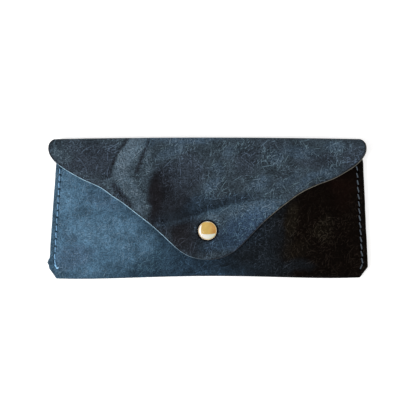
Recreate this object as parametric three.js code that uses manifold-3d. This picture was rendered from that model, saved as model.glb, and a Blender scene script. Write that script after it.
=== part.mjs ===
// Soft glasses case: one folded leather hide, sewn up both sides, with a shaped flap and one snap.
// Millimetres, +Z up. The case lies on its back: X runs across its width, +Y points to the fold
// above the flap, and the origin is the middle of the back panel's resting face.
import * as THREE from 'three';
import { mergeVertices } from 'three/addons/utils/BufferGeometryUtils.js';
import Module from 'manifold-3d';

const wasm = await Module();
wasm.setup();

// ---------- driving dimensions ----------

// the hide
const HIDE = 1.4; // leather thickness
const PLY_GAP = 0.3; // clearance between plies and at the cut lines of the folds
const TOP_Y = 37.5; // outside of the fold above the flap
const FOOT_Y = -37.5; // outside of the bottom fold
const MOUTH_Y = 27; // upper edge of the front panel, under the flap
const MOUTH_HALF_WIDTH = 82.3; // pouch half width at the mouth
const FOOT_HALF_WIDTH = 85.7; // pouch half width just above the clipped corners
const CORNER_CUT = new THREE.Vector2(4.5, 5.5); // clipped bottom corners, along X and Y

// the pocket's bulge
const SEAM_MARGIN = 5.2; // flat sewn strip along each side
const SIDE_SLOPE = 24; // run over which the front panel climbs from the seam
const RISE = 4.8; // climb of the front panel from the seam to its plateau
const FOOT_RISE = 0.3; // share of the rise already there at the bottom fold
const FOOT_SLOPE_Y = [-36, -18]; // the bottom fold's slope ends on the plateau
const MOUTH_SLOPE_Y = [12, 27]; // the mouth sinks a little towards the top fold
const MOUTH_DROP = 0.15; // share of the rise lost at the mouth
const BACK_EDGE_Y = -34; // where the back panel meets the bottom fold

// the fold above the flap
const HINGE_Y = 36.3; // both crease lines
const LOWER_CREASE_Z = HIDE / 2; // crease between the back panel and the fold
const UPPER_CREASE_Z = 6.7; // crease between the fold and the flap
const FOLD_BULGE = 0.5; // how far the fold bows out between its creases
const FOLD_HALF_WIDTH = 82.6;
const CREASE_CLEARANCE = HIDE / 2 + PLY_GAP; // panels stop this far from a crease line

// the flap's half outline, from its tip to the corner of the fold: each curve's two handles
// and its end, as [half width across X, depth below TOP_Y]
const FLAP_DEPTH = 65.4;
const FLAP_HALF_WIDTH = 85.5;
const FLAP_CURVES = [
  [[8.5, FLAP_DEPTH], [13, 62.6], [18.3, 57.7]], // the round of the tip
  [[31.5, 45.5], [45.5, 31.5], [61.6, 24.7]], // the long edge up to the elbow
  [[73.5, 19.7], [FLAP_HALF_WIDTH, 13], [FLAP_HALF_WIDTH, 5.2]], // the side lobe
  [[FLAP_HALF_WIDTH, 2.4], [84.4, 0.6], [FOLD_HALF_WIDTH, 0]], // the shoulder
];

// how the flap lies on the pouch
const FLAP_LIE = 0.5; // clearance over the front panel
const FLAP_FOLD_RUN = [29, 35.3]; // the flap comes down from the fold over this stretch of Y
const FLAP_SIDE_RUN = 8; // the stretch grows by this much towards the sides
const SNAP_LIFT = 3.1; // the snap holds the flap this much higher
const SNAP_LIFT_RADII = [6, 22]; // flat around the snap, back down outside

// the snap
const SNAP_Y = -12;
const STUD_GAP = 0.1; // clearance between a metal part and the leather under or over it
const CAP_RADIUS = 5;
const CAP_HEIGHT = 2;
const CAP_EDGE = 0.35; // upright edge below the dome
const CAP_SHANK_RADIUS = 1.1;
const CLINCH_WIDTH = 0.6; // the shank's end is spread this much under the socket's plate
const CLINCH = 0.15; // thickness of the spread end
const SOCKET_RADIUS = 4.9;
const SOCKET_HOUSING_RADIUS = 4.1;
const SOCKET_HOUSING_HEIGHT = 2.1;
const SOCKET_PLATE = 0.5;
const SOCKET_CAVITY_RADIUS = 3.6;
const SOCKET_LIP_RADIUS = 2.75;
const SOCKET_LIP = 0.3;
const RING_RADIUS = 3.05;
const RING_WIRE_RADIUS = 0.25;
const RING_OPENING = Math.PI / 6; // the ring spring is split
const STUD_FLANGE_RADIUS = 4.6;
const STUD_FLANGE = 0.5;
const STUD_NECK_RADIUS = 1.8;
const STUD_HEAD_RADIUS = 2.15;
const STUD_NECK_HEIGHT = 0.9;
const STUD_HEAD_HEIGHT = 1;
const STUD_ROUNDING = 0.35;
const POST_FLANGE_RADIUS = 4.2;
const POST_FLANGE = 0.45;
const POST_SHANK_RADIUS = 1;
const POST_SHANK_HEIGHT = 2.6;
const POST_EDGE = 0.15; // softened edge of the flange
const SHANK_CLEARANCE = 0.3;

// the saddle-stitched seams
const STITCH_INSET = 2.9; // seam line's distance from the side edge
const STITCH_PITCH = 3.85;
const STITCH_HOLES = 16;
const FIRST_HOLE_Y = -32.9;
const THREAD_WIDTH = 0.7;
const THREAD_HEIGHT = 0.5;
const THREAD_GAP = 0.15; // clearance of the thread in its groove
const THREAD_SINK = 0.1; // the thread lies this far below the leather's face
const LEG_RADIUS = 0.3;
const HOLE_RADIUS = 0.5;
const LEG_SIDES = 6;

// mesh resolution
const PANEL_COLUMNS = 34;
const FRONT_ROWS = { lip: 1, fold: 6, top: 14 };
const FLAP_ROWS = 15;
const CURVE_SEGMENTS = 10;
const ROUND_SEGMENTS = 24;
const DOME_STEPS = 7;
const BLANK_WIDTH = 172; // uncut blanks are wider than any outline
const STEP = 0.01; // finite difference used for surface normals

// derived heights
const SEAM_TOP = 2 * HIDE + PLY_GAP;
const PLATEAU_TOP = SEAM_TOP + RISE;
const FLAP_FOLD_UNDERSIDE = UPPER_CREASE_Z - HIDE / 2;
const SNAP_FLAP_UNDERSIDE = PLATEAU_TOP + FLAP_LIE + SNAP_LIFT;
const BELOW = -1; // cutters and outline prisms start below the hide
const ABOVE = 40; // and end above the flap

// ---------- colours ----------

const LEATHER = { color: 0x3a4957, roughness: 0.55, metalness: 0 };
const THREAD_BLUE = { color: 0x6f9cc4, roughness: 0.8, metalness: 0 };
const THREAD_SLATE = { color: 0x3c434b, roughness: 0.8, metalness: 0 };
const NICKEL = { color: 0xd8d2c4, roughness: 0.12, metalness: 1 };
const STEEL = { color: 0xa8a8a4, roughness: 0.3, metalness: 1 };

// ---------- solids ----------

function toSolid(geometry) {
  const bare = geometry.clone();
  bare.deleteAttribute('normal');
  bare.deleteAttribute('uv');
  const merged = mergeVertices(bare);
  return new wasm.Manifold(new wasm.Mesh({
    numProp: 3,
    vertProperties: merged.attributes.position.array,
    triVerts: merged.index.array,
  }));
}

function toGeometry(solid) {
  const { vertProperties, triVerts } = solid.getMesh();
  const geometry = new THREE.BufferGeometry();
  geometry.setAttribute('position', new THREE.BufferAttribute(vertProperties, 3));
  geometry.setIndex(new THREE.BufferAttribute(triVerts, 1));
  return geometry;
}

function makeMesh(name, geometry, finish) {
  geometry.computeVertexNormals();
  const mesh = new THREE.Mesh(geometry, new THREE.MeshStandardMaterial(finish));
  mesh.name = name;
  return mesh;
}

// A prism of a flat outline, from height `low` to height `high`.
function prism(outline, low, high) {
  const geometry = new THREE.ExtrudeGeometry(outline, {
    depth: high - low,
    bevelEnabled: false,
    curveSegments: CURVE_SEGMENTS,
  });
  return geometry.translate(0, 0, low);
}

// An upright cylinder from height `low` to height `high`.
function peg(radius, segments, x, y, low, high) {
  const geometry = new THREE.CylinderGeometry(radius, radius, high - low, segments);
  return geometry.rotateX(Math.PI / 2).translate(x, y, (low + high) / 2);
}

// A turned piece on the snap's axis: the profile lists [radius, height] pairs.
function turned(profile) {
  const points = profile.map(([radius, height]) => new THREE.Vector2(radius, height));
  const geometry = new THREE.LatheGeometry(points, ROUND_SEGMENTS);
  return geometry.rotateX(Math.PI / 2).translate(0, SNAP_Y, 0);
}

// A flat blank of hide, bent so that its middle surface follows `surface(x, t)`,
// where t runs from 0 to `rows` along the blank's length.
function bentBlank(columns, rows, surface) {
  const geometry = new THREE.BoxGeometry(BLANK_WIDTH, rows, HIDE, columns, rows, 1);
  const position = geometry.attributes.position;
  const middle = new THREE.Vector3();
  const across = new THREE.Vector3();
  const along = new THREE.Vector3();
  for (let i = 0; i < position.count; i += 1) {
    const x = position.getX(i);
    const t = position.getY(i) + rows / 2;
    const side = position.getZ(i);
    middle.copy(surface(x, t));
    across.copy(surface(x + STEP, t)).sub(surface(x - STEP, t));
    along.copy(surface(x, t + STEP)).sub(surface(x, t - STEP));
    across.cross(along).normalize();
    middle.addScaledVector(across, side);
    position.setXYZ(i, middle.x, middle.y, middle.z);
  }
  return geometry;
}

// ---------- the hide's shape ----------

// Half width of the pouch's straight, slightly flared sides.
function pouchHalfWidth(y) {
  const sideFootY = FOOT_Y + CORNER_CUT.y;
  const share = (MOUTH_Y - y) / (MOUTH_Y - sideFootY);
  return THREE.MathUtils.lerp(MOUTH_HALF_WIDTH, FOOT_HALF_WIDTH, share);
}

// Outline of the pouch between two Y values, with the bottom corners clipped.
function pouchOutline(bottomY, topY) {
  const sideFootY = FOOT_Y + CORNER_CUT.y;
  const cut = CORNER_CUT.x * (sideFootY - bottomY) / CORNER_CUT.y;
  const footX = FOOT_HALF_WIDTH - cut;
  const outline = new THREE.Shape();
  outline.moveTo(-footX, bottomY);
  outline.lineTo(footX, bottomY);
  outline.lineTo(FOOT_HALF_WIDTH, sideFootY);
  outline.lineTo(pouchHalfWidth(topY), topY);
  outline.lineTo(-pouchHalfWidth(topY), topY);
  outline.lineTo(-FOOT_HALF_WIDTH, sideFootY);
  outline.closePath();
  return outline;
}

// Height of the front panel's outer face.
function frontTop(x, y) {
  const fromSeam = pouchHalfWidth(y) - SEAM_MARGIN - Math.abs(x);
  const across = THREE.MathUtils.smoothstep(fromSeam, 0, SIDE_SLOPE);
  const foot = THREE.MathUtils.smoothstep(y, ...FOOT_SLOPE_Y);
  const mouth = THREE.MathUtils.smoothstep(y, ...MOUTH_SLOPE_Y);
  const along = (FOOT_RISE + (1 - FOOT_RISE) * foot) * (1 - MOUTH_DROP * mouth);
  return SEAM_TOP + RISE * across * along;
}

// Middle surface of the front panel: a lip at the back, the bottom fold, then the bulged front.
function frontSurface(x, t) {
  const { lip, fold, top } = FRONT_ROWS;
  const radius = (frontTop(x, FOOT_SLOPE_Y[0]) - HIDE) / 2;
  const centreY = FOOT_Y + HIDE / 2 + radius;
  const centreZ = HIDE / 2 + radius;
  if (t < lip) {
    const y = THREE.MathUtils.lerp(BACK_EDGE_Y - PLY_GAP, centreY, t / lip);
    return new THREE.Vector3(x, y, HIDE / 2);
  }
  if (t < lip + fold) {
    const angle = Math.PI * (t - lip) / fold;
    const y = centreY - radius * Math.sin(angle);
    return new THREE.Vector3(x, y, centreZ - radius * Math.cos(angle));
  }
  const y = THREE.MathUtils.lerp(centreY, MOUTH_Y, (t - lip - fold) / top);
  return new THREE.Vector3(x, y, frontTop(x, y) - HIDE / 2);
}

// Height of the flap's underside: it leaves the fold level, lies on the front panel,
// and is held up around the snap.
function flapUnderside(x, y) {
  const fromSnap = Math.hypot(x, y - SNAP_Y);
  const lift = 1 - THREE.MathUtils.smoothstep(fromSnap, ...SNAP_LIFT_RADII);
  const lying = frontTop(x, y) + FLAP_LIE + SNAP_LIFT * lift;
  const sideShare = (x / FLAP_HALF_WIDTH) ** 2;
  const runStart = FLAP_FOLD_RUN[0] - FLAP_SIDE_RUN * sideShare;
  const folded = THREE.MathUtils.smoothstep(y, runStart, FLAP_FOLD_RUN[1]);
  return THREE.MathUtils.lerp(lying, FLAP_FOLD_UNDERSIDE, folded);
}

function flapSurface(x, t) {
  const tipY = TOP_Y - FLAP_DEPTH - HIDE;
  const y = THREE.MathUtils.lerp(tipY, HINGE_Y - CREASE_CLEARANCE, t / FLAP_ROWS);
  return new THREE.Vector3(x, y, flapUnderside(x, y) + HIDE / 2);
}

// The flap's outline: up the right edge from the tip, across the fold, and back down the left.
function flapOutline() {
  const point = (side, [halfWidth, depth]) => [side * halfWidth, TOP_Y - depth];
  const outline = new THREE.Shape();
  outline.moveTo(0, TOP_Y - FLAP_DEPTH);
  for (const [first, second, end] of FLAP_CURVES) {
    outline.bezierCurveTo(...point(1, first), ...point(1, second), ...point(1, end));
  }
  outline.lineTo(-FOLD_HALF_WIDTH, TOP_Y);
  for (let i = FLAP_CURVES.length - 1; i >= 0; i -= 1) {
    const [first, second] = FLAP_CURVES[i];
    const start = i === 0 ? [0, FLAP_DEPTH] : FLAP_CURVES[i - 1][2];
    outline.bezierCurveTo(...point(-1, second), ...point(-1, first), ...point(-1, start));
  }
  return outline;
}

// ---------- the seams ----------

function seamPoint(side, y) {
  return new THREE.Vector2(side * (pouchHalfWidth(y) - STITCH_INSET), y);
}

function holeCentres(side) {
  const centres = [];
  for (let i = 0; i < STITCH_HOLES; i += 1) {
    centres.push(seamPoint(side, FIRST_HOLE_Y + i * STITCH_PITCH));
  }
  return centres;
}

// A straight bar along the seam line, `extra` longer than the row of holes at each end.
function seamBar(side, width, extra, low, high) {
  const centres = holeCentres(side);
  const start = centres[0];
  const end = centres[centres.length - 1];
  const length = start.distanceTo(end) + 2 * extra;
  const slant = Math.atan2(start.x - end.x, end.y - start.y);
  const bar = new THREE.BoxGeometry(width, length, high - low);
  bar.rotateZ(slant);
  return bar.translate((start.x + end.x) / 2, (start.y + end.y) / 2, (low + high) / 2);
}

// One length of thread: the run on the front, the run on the back and the legs between them.
function seamThread(side) {
  const frontHigh = SEAM_TOP - THREAD_SINK;
  const end = LEG_RADIUS;
  let thread = toSolid(seamBar(side, THREAD_WIDTH, end, frontHigh - THREAD_HEIGHT, frontHigh));
  const backRun = seamBar(side, THREAD_WIDTH, end, THREAD_SINK, THREAD_SINK + THREAD_HEIGHT);
  thread = thread.add(toSolid(backRun));
  const low = THREAD_SINK + THREAD_HEIGHT / 2;
  for (const { x, y } of holeCentres(side)) {
    thread = thread.add(toSolid(peg(LEG_RADIUS, LEG_SIDES, x, y, low, frontHigh - THREAD_HEIGHT / 2)));
  }
  return toGeometry(thread);
}

// Cuts the stitch holes and the thread's groove into a panel whose grooved face spans
// the heights `low` to `high` (one of them lies outside the hide).
function cutSeams(panel, low, high) {
  let cut = panel;
  const width = THREAD_WIDTH + 2 * THREAD_GAP;
  for (const side of [-1, 1]) {
    cut = cut.subtract(toSolid(seamBar(side, width, HOLE_RADIUS, low, high)));
    for (const { x, y } of holeCentres(side)) {
      cut = cut.subtract(toSolid(peg(HOLE_RADIUS, LEG_SIDES, x, y, BELOW, ABOVE)));
    }
  }
  return cut;
}

// ---------- the hide's pieces ----------

const GROOVE_DEPTH = THREAD_SINK + THREAD_HEIGHT + THREAD_GAP;

function backPanel() {
  const outline = pouchOutline(BACK_EDGE_Y, HINGE_Y - CREASE_CLEARANCE);
  return toGeometry(cutSeams(toSolid(prism(outline, 0, HIDE)), BELOW, GROOVE_DEPTH));
}

function frontPanel() {
  const rows = FRONT_ROWS.lip + FRONT_ROWS.fold + FRONT_ROWS.top;
  const blank = toSolid(bentBlank(PANEL_COLUMNS, rows, frontSurface));
  const outline = pouchOutline(FOOT_Y - PLY_GAP, MOUTH_Y);
  const trimmed = blank.intersect(toSolid(prism(outline, BELOW, ABOVE)));
  const sewn = cutSeams(trimmed, SEAM_TOP - GROOVE_DEPTH, SEAM_TOP + THREAD_HEIGHT);
  const holeRadius = POST_SHANK_RADIUS + SHANK_CLEARANCE;
  const hole = peg(holeRadius, ROUND_SEGMENTS, 0, SNAP_Y, SEAM_TOP, ABOVE);
  return toGeometry(sewn.subtract(toSolid(hole)));
}

function flapPanel() {
  const blank = toSolid(bentBlank(PANEL_COLUMNS, FLAP_ROWS, flapSurface));
  const trimmed = blank.intersect(toSolid(prism(flapOutline(), BELOW, ABOVE)));
  const holeRadius = CAP_SHANK_RADIUS + SHANK_CLEARANCE;
  const hole = peg(holeRadius, ROUND_SEGMENTS, 0, SNAP_Y, BELOW, ABOVE);
  return toGeometry(trimmed.subtract(toSolid(hole)));
}

// The fold above the flap: an arched strip whose round ends turn about the two crease lines.
function foldSpine() {
  const halfChord = (UPPER_CREASE_Z - LOWER_CREASE_Z) / 2;
  const radius = (halfChord ** 2 + FOLD_BULGE ** 2) / (2 * FOLD_BULGE);
  const centreY = HINGE_Y + FOLD_BULGE - radius;
  const centreZ = (UPPER_CREASE_Z + LOWER_CREASE_Z) / 2;
  const angle = Math.asin(halfChord / radius);
  const end = HIDE / 2;
  const section = new THREE.Shape();
  section.absarc(centreY, centreZ, radius + end, -angle, angle, false);
  section.absarc(HINGE_Y, UPPER_CREASE_Z, end, angle, angle + Math.PI, false);
  section.absarc(centreY, centreZ, radius - end, angle, -angle, true);
  section.absarc(HINGE_Y, LOWER_CREASE_Z, end, Math.PI - angle, 2 * Math.PI - angle, false);
  const geometry = new THREE.ExtrudeGeometry(section, {
    depth: 2 * FOLD_HALF_WIDTH,
    bevelEnabled: false,
    curveSegments: CURVE_SEGMENTS,
  });
  // the section is drawn in (Y, Z): stand it up and run it along X
  return geometry.rotateX(Math.PI / 2).rotateZ(Math.PI / 2).translate(-FOLD_HALF_WIDTH, 0, 0);
}

// ---------- the snap's pieces ----------

// The domed cap with its hollow shank, clinched under the socket's plate.
function snapCap() {
  const base = SNAP_FLAP_UNDERSIDE + HIDE + STUD_GAP;
  const plateUnderside = SNAP_FLAP_UNDERSIDE - STUD_GAP - SOCKET_PLATE;
  const clinchTop = plateUnderside - STUD_GAP;
  const profile = [
    [0, clinchTop - CLINCH],
    [CAP_SHANK_RADIUS + CLINCH_WIDTH, clinchTop - CLINCH],
    [CAP_SHANK_RADIUS + CLINCH_WIDTH, clinchTop],
    [CAP_SHANK_RADIUS, clinchTop],
    [CAP_SHANK_RADIUS, base],
    [CAP_RADIUS - CAP_EDGE, base],
    [CAP_RADIUS, base + CAP_EDGE],
  ];
  for (let i = 1; i <= DOME_STEPS; i += 1) {
    const angle = (Math.PI / 2) * (i / DOME_STEPS);
    const radius = i === DOME_STEPS ? 0 : CAP_RADIUS * Math.cos(angle);
    profile.push([radius, base + CAP_EDGE + (CAP_HEIGHT - CAP_EDGE) * Math.sin(angle)]);
  }
  return turned(profile);
}

// The socket under the flap: a plate against the leather, a housing, and a lip for the ring.
function snapSocket() {
  const top = SNAP_FLAP_UNDERSIDE - STUD_GAP;
  const plateUnderside = top - SOCKET_PLATE;
  const bottom = plateUnderside - SOCKET_HOUSING_HEIGHT;
  const hole = CAP_SHANK_RADIUS + SHANK_CLEARANCE;
  return turned([
    [hole, plateUnderside],
    [SOCKET_CAVITY_RADIUS, plateUnderside],
    [SOCKET_CAVITY_RADIUS, bottom + SOCKET_LIP],
    [SOCKET_LIP_RADIUS, bottom + SOCKET_LIP],
    [SOCKET_LIP_RADIUS, bottom],
    [SOCKET_HOUSING_RADIUS - SOCKET_LIP, bottom],
    [SOCKET_HOUSING_RADIUS, bottom + SOCKET_LIP],
    [SOCKET_HOUSING_RADIUS, plateUnderside],
    [SOCKET_RADIUS, plateUnderside],
    [SOCKET_RADIUS, top],
    [hole, top],
    [hole, plateUnderside],
  ]);
}

// The split ring of spring wire that lies on the socket's lip and grips the stud's neck.
function snapRingSpring() {
  const lipTop = SNAP_FLAP_UNDERSIDE - STUD_GAP - SOCKET_PLATE - SOCKET_HOUSING_HEIGHT + SOCKET_LIP;
  const wire = new THREE.Shape();
  wire.absarc(0, 0, RING_WIRE_RADIUS, 0, 2 * Math.PI, false);
  const path = new THREE.Curve();
  path.getPoint = (t, target = new THREE.Vector3()) => {
    const angle = (RING_OPENING - Math.PI) / 2 + t * (2 * Math.PI - RING_OPENING);
    return target.set(RING_RADIUS * Math.cos(angle), RING_RADIUS * Math.sin(angle), 0);
  };
  const geometry = new THREE.ExtrudeGeometry(wire, {
    steps: ROUND_SEGMENTS,
    extrudePath: path,
    curveSegments: 4,
  });
  return geometry.translate(0, SNAP_Y, lipTop + STUD_GAP + RING_WIRE_RADIUS);
}

// The stud on the front panel: flange, neck and rounded head, with a blind bore for the post.
function snapStud() {
  const flangeLow = PLATEAU_TOP + STUD_GAP;
  const flangeTop = flangeLow + STUD_FLANGE;
  const neckTop = flangeTop + STUD_NECK_HEIGHT;
  const headTop = neckTop + STUD_HEAD_HEIGHT;
  const bore = POST_SHANK_RADIUS + SHANK_CLEARANCE;
  const boreTop = PLATEAU_TOP + POST_SHANK_HEIGHT - HIDE + SHANK_CLEARANCE;
  return turned([
    [0, boreTop],
    [bore, boreTop],
    [bore, flangeLow],
    [STUD_FLANGE_RADIUS, flangeLow],
    [STUD_FLANGE_RADIUS, flangeLow + STUD_FLANGE / 2],
    [STUD_NECK_RADIUS + STUD_ROUNDING, flangeTop],
    [STUD_NECK_RADIUS, flangeTop + STUD_ROUNDING],
    [STUD_NECK_RADIUS, neckTop - STUD_ROUNDING],
    [STUD_HEAD_RADIUS, neckTop],
    [STUD_HEAD_RADIUS, headTop - STUD_ROUNDING],
    [STUD_HEAD_RADIUS - STUD_ROUNDING, headTop],
    [0, headTop],
  ]);
}

// The post inside the pocket: a flat flange under the front panel and a shank up into the stud.
function snapPost() {
  const flangeTop = PLATEAU_TOP - HIDE - STUD_GAP;
  const flangeLow = flangeTop - POST_FLANGE;
  const shankTop = PLATEAU_TOP - HIDE + POST_SHANK_HEIGHT;
  return turned([
    [0, flangeLow],
    [POST_FLANGE_RADIUS - POST_EDGE, flangeLow],
    [POST_FLANGE_RADIUS, flangeLow + POST_EDGE],
    [POST_FLANGE_RADIUS, flangeTop],
    [POST_SHANK_RADIUS, flangeTop],
    [POST_SHANK_RADIUS, shankTop],
    [0, shankTop],
  ]);
}

// ---------- the assembly ----------

const pouch = new THREE.Group();
pouch.add(makeMesh('back_panel', backPanel(), LEATHER));
pouch.add(makeMesh('front_panel', frontPanel(), LEATHER));
pouch.add(makeMesh('left_seam_thread', seamThread(-1), THREAD_BLUE));
pouch.add(makeMesh('right_seam_thread', seamThread(1), THREAD_SLATE));
pouch.add(makeMesh('snap_stud', snapStud(), STEEL));
pouch.add(makeMesh('snap_post', snapPost(), STEEL));

const fold = new THREE.Group();
fold.add(makeMesh('fold_spine', foldSpine(), LEATHER));

const flap = new THREE.Group();
flap.add(makeMesh('flap_panel', flapPanel(), LEATHER));
flap.add(makeMesh('snap_cap', snapCap(), NICKEL));
flap.add(makeMesh('snap_socket', snapSocket(), STEEL));
flap.add(makeMesh('snap_ring_spring', snapRingSpring(), STEEL));

const group = new THREE.Group();
group.add(pouch, fold, flap);
export default group;
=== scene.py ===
"""Soft leather glasses case: a folded, waxed navy hide sewn up both sides, with a wavy flap and one snap.

The pieces are cut flat, given their thickness and rounded edges, and then bent onto the frame. Shapes
are worked out in millimetres and made in metres.
"""

import math

import bmesh
import bpy
import numpy as np
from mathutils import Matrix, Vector, noise
from mathutils.geometry import delaunay_2d_cdt


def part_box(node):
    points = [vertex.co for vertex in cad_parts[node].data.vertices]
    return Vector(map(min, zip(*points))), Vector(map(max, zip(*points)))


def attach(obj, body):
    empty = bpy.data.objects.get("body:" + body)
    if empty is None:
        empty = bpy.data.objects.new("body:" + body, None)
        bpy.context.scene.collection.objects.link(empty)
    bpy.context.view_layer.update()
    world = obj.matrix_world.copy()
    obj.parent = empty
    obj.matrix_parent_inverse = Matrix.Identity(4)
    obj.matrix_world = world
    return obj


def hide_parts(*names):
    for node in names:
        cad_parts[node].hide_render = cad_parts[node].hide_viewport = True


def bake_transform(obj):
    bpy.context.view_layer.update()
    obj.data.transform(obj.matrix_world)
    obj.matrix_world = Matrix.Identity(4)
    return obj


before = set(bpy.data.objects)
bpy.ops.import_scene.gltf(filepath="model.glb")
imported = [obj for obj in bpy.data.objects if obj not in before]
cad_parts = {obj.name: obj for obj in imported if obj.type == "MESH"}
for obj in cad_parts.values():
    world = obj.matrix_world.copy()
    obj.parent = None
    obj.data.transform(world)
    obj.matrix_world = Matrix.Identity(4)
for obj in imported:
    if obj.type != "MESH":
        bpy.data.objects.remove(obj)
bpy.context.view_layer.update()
MM = 0.001

# vector noise moves the knife cuts and the dye: without a seed of its own it follows the clock
NOISE_SEED = 1
noise.seed_set(NOISE_SEED)


# ---------- sizes, read from the frame ----------

def box_mm(node):
    low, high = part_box(node)
    return np.array(low) / MM, np.array(high) / MM


BACK_LOW, BACK_HIGH = box_mm("back_panel")
FRONT_LOW, FRONT_HIGH = box_mm("front_panel")
FOLD_HIGH = box_mm("fold_spine")[1]
FLAP_LOW, FLAP_HIGH = box_mm("flap_panel")
CAP_LOW, CAP_HIGH = box_mm("snap_cap")
SOCKET_LOW, SOCKET_HIGH = box_mm("snap_socket")
RING_LOW, RING_HIGH = box_mm("snap_ring_spring")
STUD_LOW, STUD_HIGH = box_mm("snap_stud")
POST_LOW, POST_HIGH = box_mm("snap_post")

HIDE = BACK_HIGH[2] - BACK_LOW[2]
TOP_Y = FOLD_HIGH[1]
FOOT_Y = FRONT_LOW[1]
MOUTH_Y = FRONT_HIGH[1]
BACK_EDGE_Y = BACK_LOW[1]
FOOT_HALF_WIDTH = FRONT_HIGH[0]
FOLD_HALF_WIDTH = FOLD_HIGH[0]
FLAP_HALF_WIDTH = FLAP_HIGH[0]
FLAP_DEPTH = TOP_Y - FLAP_LOW[1]
FOLD_TOP = FOLD_HIGH[2]
PLATEAU_TOP = FRONT_HIGH[2]
FLAP_TOP = FLAP_HIGH[2]
SNAP_X = (CAP_LOW[0] + CAP_HIGH[0]) / 2
SNAP_Y = (CAP_LOW[1] + CAP_HIGH[1]) / 2
CAP_RADIUS = (CAP_HIGH[0] - CAP_LOW[0]) / 2

# the hide's cut and lie, in millimetres
MOUTH_HALF_WIDTH = 82.3
CORNER_CUT = (4.5, 5.5)
SEAM_MARGIN = 5.2
SIDE_SLOPE = 24.0
FOOT_RISE = 0.3
FOOT_SLOPE_Y = (-36.0, -18.0)
MOUTH_SLOPE_Y = (12.0, 27.0)
MOUTH_DROP = 0.15
PLY_GAP = 0.3
SEAM_TOP = 2 * HIDE + PLY_GAP
RISE = PLATEAU_TOP - SEAM_TOP
FLAP_LIE = 0.5
SNAP_LIFT = FLAP_TOP - HIDE - PLATEAU_TOP - FLAP_LIE
SNAP_LIFT_RADII = (6.0, 22.0)
FLAP_FOLD_RUN = 6.3
FLAP_SIDE_RUN = 8.0
FOLD_RADIUS = (FOLD_TOP - HIDE) / 2
FOLD_CENTRE_Y = TOP_Y - HIDE / 2 - FOLD_RADIUS
FOLD_CENTRE_Z = FOLD_TOP / 2
FLAP_CURVES = (
    ((8.5, FLAP_DEPTH), (13, 62.6), (18.3, 57.7)),
    ((31.5, 45.5), (45.5, 31.5), (61.6, 24.7)),
    ((73.5, 19.7), (FLAP_HALF_WIDTH, 13), (FLAP_HALF_WIDTH, 5.2)),
    ((FLAP_HALF_WIDTH, 2.4), (84.4, 0.6), (FOLD_HALF_WIDTH, 0)),
)

# the sewn seams: each has its own first hole, and a last stitch that turns off the line
STITCH_PITCH = 3.85
STITCH_HOLES = 15
STITCH_INSET = 2.9
FIRST_HOLE_Y = {-1: -28.2, 1: -30.4}
TURNED_HOLES = {-1: ((-82.0, -30.6), (-80.6, -31.9)), 1: ((81.6, -33.0),)}
GROOVE_DEPTH = 0.32
GROOVE_WIDTH = 0.7
PIT_DEPTH = 0.8
PIT_RADIUS = 0.5

# how the edges wander: the fold bows up, the foot bows in, and the knife left a nub on the left
TOP_BOW = (0.55, -0.85)
FOOT_BOW = (0.67, 0.3, -4.2, 3.3)
LEAN = (0.45, 0.8)
SPREAD = 0.006
NUB_Y = -28.3
NUB = 1.1
NUB_WIDTH = 1.15
CUT_WANDER = 0.16

# how far the flap's edge was cut from its plan on the right, on the left and at the tip
RIGHT_WING = 1.45
LEFT_WING = -0.9
TIP = 0.45

THREAD_PLY = 0.215
PLY_TURNS = 2.5
STITCH_DASH = 3.3
STITCH_DIP = 1.25

# the snap's cap, and the dish that it presses into the flap
CAP_SAGITTA = 1.2
CAP_RIM = 0.42
DISH_DEPTH = 0.3
DISH_WIDTH = 2.0

# how strongly the dye is laid on, so that it looks right under the studio's light
DYE_LEVEL = 0.62

# the studio: the camera looks straight down on a plane at the case's mid height
FIELD = 0.2236
LOOKED_AT = (0.0003, 0.0, 0.006)
FLOOR_GLOW = 0.38
WORLD_LIGHT = 0.5

# how finely the hide is meshed
SPACING = 0.95
RIM_SPACING = SPACING * 0.7
EDGE_ROUND = 0.42
EDGE_STEPS = 4


def linked(name, data):
    """A new object of this data, placed in the scene."""
    item = bpy.data.objects.new(name, data)
    bpy.context.scene.collection.objects.link(item)
    return item


def smoothstep(value, low, high):
    t = np.clip((value - low) / (high - low), 0.0, 1.0)
    return t * t * (3 - 2 * t)


def mix(a, b, t):
    return a + (b - a) * t


# ---------- the hide's shape ----------

def pouch_half_width(y):
    side_foot = FOOT_Y + CORNER_CUT[1]
    share = (MOUTH_Y - y) / (MOUTH_Y - side_foot)
    return mix(MOUTH_HALF_WIDTH, FOOT_HALF_WIDTH, share)


def trimmed_half_width(y):
    """Half width of the pouch with its bottom corners clipped."""
    side_foot = FOOT_Y + CORNER_CUT[1]
    clipped = FOOT_HALF_WIDTH - CORNER_CUT[0] * (side_foot - y) / CORNER_CUT[1]
    return np.minimum(pouch_half_width(y), clipped)


def unevenness(x, y):
    """A few long, low waves, so that no panel is perfectly smooth."""
    waves = (
        (0.071, 0.052, 0.3, 0.09),
        (-0.043, 0.117, 1.9, 0.08),
        (0.128, -0.061, 4.1, 0.06),
        (0.019, 0.201, 2.2, 0.04),
        (0.214, 0.083, 5.3, 0.035),
    )
    return sum(size * np.sin(kx * x + ky * y + start) for kx, ky, start, size in waves)


def front_top(x, y):
    from_seam = pouch_half_width(y) - SEAM_MARGIN - np.abs(x)
    across = smoothstep(from_seam, 0, SIDE_SLOPE)
    foot = smoothstep(y, *FOOT_SLOPE_Y)
    mouth = smoothstep(y, *MOUTH_SLOPE_Y)
    along = (FOOT_RISE + (1 - FOOT_RISE) * foot) * (1 - MOUTH_DROP * mouth)
    return SEAM_TOP + RISE * across * along + unevenness(x, y) * across * foot


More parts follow.
